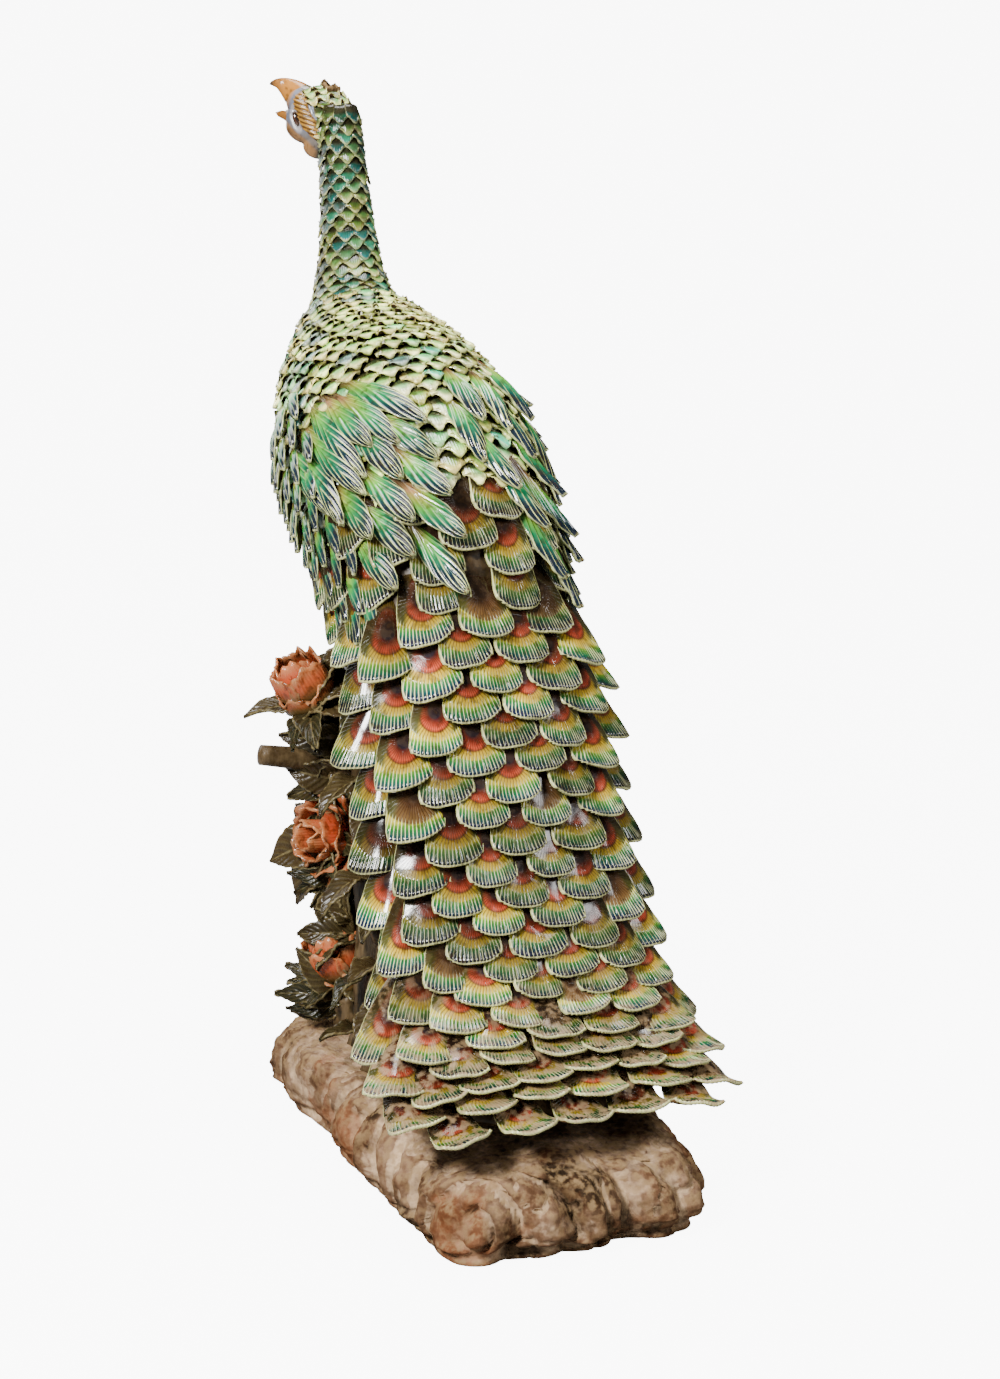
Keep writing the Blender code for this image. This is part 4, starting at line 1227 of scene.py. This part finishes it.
def limb_shape(ends, sizes, rings=0.0):
    ends, sizes = np.array(ends), np.array(sizes)
    steps = np.linspace(0, 1, len(ends))

    def shape(angle, rise):
        inner = np.clip((rise - 0.04) / 0.92, 0, 1)
        centre = np.stack(read_off(inner, steps, ends), 1)
        ahead = unit(np.stack(read_off(inner, steps, np.gradient(ends, axis=0)), 1))
        over = unit(np.cross(ahead, (0.31, 0.95, 0.05)))
        under = np.cross(ahead, over)
        thick = np.interp(inner, steps, sizes) * np.interp(rise, (0, 0.04, 0.96, 1), (0, 1, 1, 0))
        thick = thick * (1 + rings * np.cos(2 * math.pi * inner * 9))
        c, s = (thick * np.cos(angle))[:, None], (thick * np.sin(angle))[:, None]
        return centre + over * c + under * s

    return shape


limbs = []
for side in (1, -1):
    foot = np.array([side * LEG_SPREAD, FOOT_BACK, ROCK_HEIGHT + STUMP_HEIGHT])
    knee = np.array([side * LEG_SPREAD, KNEE_BACK, KNEE_UP])
    shank = [foot - (0, 0, 0.010), (foot + knee) / 2, knee]
    limbs.append(limb_shape(shank, [0.011, 0.0095, 0.022], 0.04))
    for turned, long in TOES:
        way = np.array([math.sin(math.radians(turned)), -math.cos(math.radians(turned)), 0.0])
        knuckle, claw = foot + way * long * 0.55 + (0, 0, 0.001), foot + way * long - (0, 0, 0.014)
        toe = [foot - way * 0.004, knuckle, claw]
        limbs.append(limb_shape(toe, [0.0085, 0.0070, 0.0022], 0.06))
leg_paint = plain_paint((0.07, 0.045, 0.025), (0.24, 0.16, 0.08), 90.0, 0.3)
piece(rolled("legs", 16, 40, *limbs), fired("leg_glaze", leg_paint, 0.2))


# The roses: six sprigs on the stump, petals and leaves cut from thin clay and pinched on.
# Coral petals have ochre lips, and the leaves are dark olive with pale torn edges.

BUD, ROSE = "bud", "rose"
SPRIGS = [  # middle of the flower x, y, z, its aim x, y, z, radius, length, stalk, leaves, form
    (0.116, -0.195, 0.492, 0.50, 0.10, 0.85, 0.033, 0.068, 0.075, 6, BUD),
    (0.088, -0.195, 0.330, 0.93, 0.25, 0.15, 0.050, 0.055, 0.060, 5, ROSE),
    (0.076, -0.195, 0.150, 0.45, 0.15, 0.85, 0.038, 0.078, 0.050, 6, BUD),
    (-0.126, -0.150, 0.510, -0.75, 0.10, 0.60, 0.032, 0.058, 0.085, 4, BUD),
    (-0.020, -0.290, 0.350, -0.15, -0.95, 0.25, 0.046, 0.050, 0.070, 4, ROSE),
    (-0.085, -0.220, 0.190, -0.65, -0.30, 0.70, 0.030, 0.050, 0.070, 4, BUD),
]
WHORLS = {  # petals, reach and height of the lip, reach of the belly, half angle
    ROSE: [
        (5, 1.15, 0.38, 0.84, 46), (5, 0.96, 0.66, 0.80, 44), (4, 0.66, 0.88, 0.62, 56),
        (3, 0.34, 1.02, 0.38, 74),
    ],
    BUD: [(5, 1.06, 0.46, 1.04, 42), (4, 0.92, 0.90, 1.00, 56), (3, 0.52, 1.04, 0.80, 74)],
}
COVER_LEAVES = 40
SPRIG_LEAF = 0.088
petals, leaves, stalks = [], [], []


def add_leaf(start, way, facing):
    """A leaf that runs from start along way, with its upper side to facing."""
    leaves.append((*start, *(start + way), *facing, chance.random()))


for number, row in enumerate(SPRIGS):
    foot, aim = Vector(row[:3]), Vector(row[3:6]).normalized()
    radius, long, stalk, leaf_count, form = row[6:]
    side = aim.orthogonal().normalized()
    up = aim.cross(side)
    for whorl, (count, lip, top, belly, spread) in enumerate(WHORLS[form]):
        for k in range(count):
            angle = 2 * math.pi * (k + 0.5 * (whorl % 2) + 0.13 * whorl) / count + number
            petals.append((
                *foot, *aim, *side, *up, radius, long, angle, lip, top, belly,
                math.radians(spread), chance.random(), form == BUD, whorl / 3,
            ))
    for k in range(leaf_count + 4):
        angle = 2 * math.pi * (k + 0.37 * number + 0.4 * (k >= leaf_count)) / leaf_count
        spoke = side * math.cos(angle) + up * math.sin(angle)
        run = (spoke + aim * (0.15 + 0.3 * (k % 3))).normalized()
        facing = (aim - run * aim.dot(run)).normalized()
        start = foot - aim * (0.006 + 0.012 * (k % 2)) + spoke * 0.002
        add_leaf(start, run * SPRIG_LEAF * (0.9 + 0.12 * (k % 4)), facing)
    way_back = [foot + aim * 0.004, foot - aim * stalk * 0.45 + side * 0.006, foot - aim * stalk]
    stalks.append(limb_shape(way_back, [radius * 0.42, 0.011, 0.014]))
for k in range(COVER_LEAVES):  # leaves that cling to the trunk between the sprigs
    share, turned = 0.04 + 0.90 * (k + 0.5) / COVER_LEAVES, math.radians(137.5 * k)
    if k % 2:
        turned = math.radians(62.0 - 21.0 * (k // 2 % 5))  # every other one lies toward the bird's left
    back, wide, deep = read_off(share, STUMP_RINGS[:, 0], STUMP_RINGS[:, 1:])
    out = Vector((math.cos(turned), math.sin(turned), 0.0))
    seat = Vector((out.x * wide * 0.95, back + out.y * deep * 0.95, ROCK_HEIGHT + STUMP_HEIGHT * share))
    run = (out + Vector((0.0, 0.25, 0.35 - 0.8 * (k % 2)))).normalized()
    facing = (Vector((0.0, 0.0, 1.0)) - run * run.z).normalized()
    add_leaf(seat, run * chance.uniform(0.055, 0.080), facing)
TUFTS = [  # root x, y, z of a spray of leaves, how many, first and last slope in degrees, length
    (0.062, -0.200, 0.455, 10, -100, 80, 0.088), (0.066, -0.200, 0.400, 6, -120, 20, 0.080),
    (0.070, -0.195, 0.290, 6, -110, 10, 0.075), (0.070, -0.185, 0.135, 7, -22, 50, 0.090),
    (0.066, -0.175, 0.215, 5, -60, 60, 0.070),
]
for x, y, z, count, first_slope, last_slope, long in TUFTS:
    for k in range(count):
        slope = math.radians(first_slope + (last_slope - first_slope) * (k + 0.5) / count)
        run = Vector((0.92 * math.cos(slope), -0.38 * math.cos(slope) + 0.25 * (k % 2), math.sin(slope)))
        facing = Vector((0.36, 0.90, 0.35 - 0.5 * (k % 2)))
        start = Vector((x, y + 0.006 * (k % 3), z)) + run * 0.012
        add_leaf(start, run * long * (0.85 + 0.1 * (k % 3)), facing)
petals, leaves = np.array(petals), np.array(leaves)


def lay_petals(side, rise):
    foot, aim, one, two = (petals[:, None, k : k + 3] for k in (0, 3, 6, 9))
    radius, long, angle, lip, top, belly, spread, luck = (petals[:, 12 + k, None] for k in range(8))
    grow = np.interp(rise, (0, 0.3, 0.7, 0.9, 1.0), (0.35, 0.80, 1.0, 0.90, 0.66))
    cup = 0.25 + (belly - 0.25) * np.sin(rise / 0.6 * math.pi / 2)
    brim = belly + (lip - belly) * (np.maximum(rise - 0.6, 0) / 0.4) ** 1.5
    reach = np.where(rise < 0.6, cup, brim)
    reach = reach + 0.05 * np.sin(5 * side + 9 * luck) * rise**2 + 0.06 * side**2 * rise
    high = -0.10 + (top + 0.10) * rise ** (0.9 + 0.4 * luck) - 0.12 * np.abs(side) ** 2.2 * rise**2
    high = high + 0.04 * np.sin(7 * side + 5 * luck) * rise**3
    turn = angle + spread * grow * side
    spoke = one * np.cos(turn)[..., None] + two * np.sin(turn)[..., None]
    return foot + spoke * (radius * reach)[..., None] + aim * (long * high)[..., None]


def petal_paint(wires):
    signed, across, along = pattern_spot(wires)
    marks, luck = mark_of(wires)
    in_bud, whorl, _ = wires.split(marks)
    vein = wires.calc("COSINE", wires.times(signed, 44.0))
    edge = wires.calc("MAXIMUM", wires.fade(along, 0.70, 1.0), wires.fade(across, 0.70, 1.0))
    colour = wires.blend(wires.fade(along, 0.15, 0.80), (0.08, 0.008, 0.003), (0.44, 0.052, 0.016))
    colour = wires.blend(wires.times(luck, 0.4), colour, (0.46, 0.19, 0.060))
    colour = wires.blend(wires.times(edge, 0.55), colour, (0.22, 0.095, 0.022))
    sheath = wires.fade(wires.line(whorl, 0.40, along), 0.95, 0.60, 0.0, 0.9)
    colour = wires.blend(wires.times(sheath, in_bud), colour, (0.070, 0.055, 0.015))
    worn, relief = wires.times(edge, 0.10), wires.times(vein, 0.12)
    return {"Color": colour, "Worn": worn, "Dust": 0.15, "Relief": relief, "Matt": 0.18}


LEAF_VEINS, VEIN_SLANT = 9.0, 2.4


def lay_leaves(side, rise):
    luck = leaves[:, 9, None]
    long = np.linalg.norm(leaves[:, 3:6] - leaves[:, 0:3], axis=1)[:, None]
    half = long * (0.17 + 0.15 * luck)
    grow = np.interp(rise, (0, 0.12, 0.35, 0.6, 0.85, 1.0), (0.22, 0.70, 1.0, 0.88, 0.42, 0.03))
    tooth = 1 + 0.16 * np.abs(side) ** 5 * (((rise * LEAF_VEINS) % 1.0) - 0.5)
    veins = np.cos(2 * math.pi * (rise * LEAF_VEINS - VEIN_SLANT * np.abs(side)))
    high = long * (0.16 * np.sin(math.pi * rise) - 0.12 * rise) + half * 0.34 * np.abs(side) ** 1.3 * grow
    high = high + 0.0008 * veins * np.interp(np.abs(side), (0, 0.2), (0, 1))
    high = high - 0.0015 * np.exp(-((side / 0.10) ** 2))
    high = high + 0.0030 * np.sin(4 * rise * math.pi + 6 * luck) * np.abs(side) ** 2
    bent = half * grow * side * tooth + long * 0.10 * (luck - 0.5) * rise**2
    return stand(leaves[:, 0:3], leaves[:, 3:6], leaves[:, 6:9], rise + 0 * long, bent, high)


def leaf_paint(wires):
    _, across, along = pattern_spot(wires)
    _, luck = mark_of(wires)
    vein = wires.line(along, LEAF_VEINS, wires.times(across, -VEIN_SLANT))
    vein = wires.calc("COSINE", wires.times(vein, 2 * math.pi))
    body = wires.blend(luck, (0.006, 0.009, 0.003), (0.040, 0.025, 0.009))
    body = wires.blend(wires.fade(vein, 0.2, 0.9, 0.0, 0.35), body, (0.065, 0.050, 0.018))
    edge = wires.calc("MAXIMUM", wires.fade(across, 0.90, 0.98), wires.fade(across, 0.10, 0.03))
    colour = wires.blend(wires.times(edge, 0.45), body, (0.13, 0.095, 0.035))
    worn, relief = wires.times(edge, 0.06), wires.times(vein, 0.3)
    return {"Color": colour, "Worn": worn, "Dust": 0.05, "Relief": relief, "Matt": 0.24}


petal_finish = fired("rose_glaze", petal_paint, 0.35)
leaf_finish = fired("leaf_glaze", leaf_paint, 0.18)
petal_marks = petals[:, (20, 21, 20, 19)]  # in a bud, whorl, in a bud, luck
leaf_marks = np.tile(leaves[:, 9:], (1, 4))
copies("rose_petals", 10, 10, lay_petals, petal_marks, 0.0024, petal_finish)
copies("rose_leaves", 10, 22, lay_leaves, leaf_marks, 0.0028, leaf_finish)
cut_branch = [(0.060, -0.190, 0.400), (0.120, -0.200, 0.425), (0.186, -0.200, 0.437)]
stalks.append(limb_shape(cut_branch, [0.018, 0.014, 0.012]))
piece(rolled("rose_stalks", 20, 16, *stalks), bark_finish)
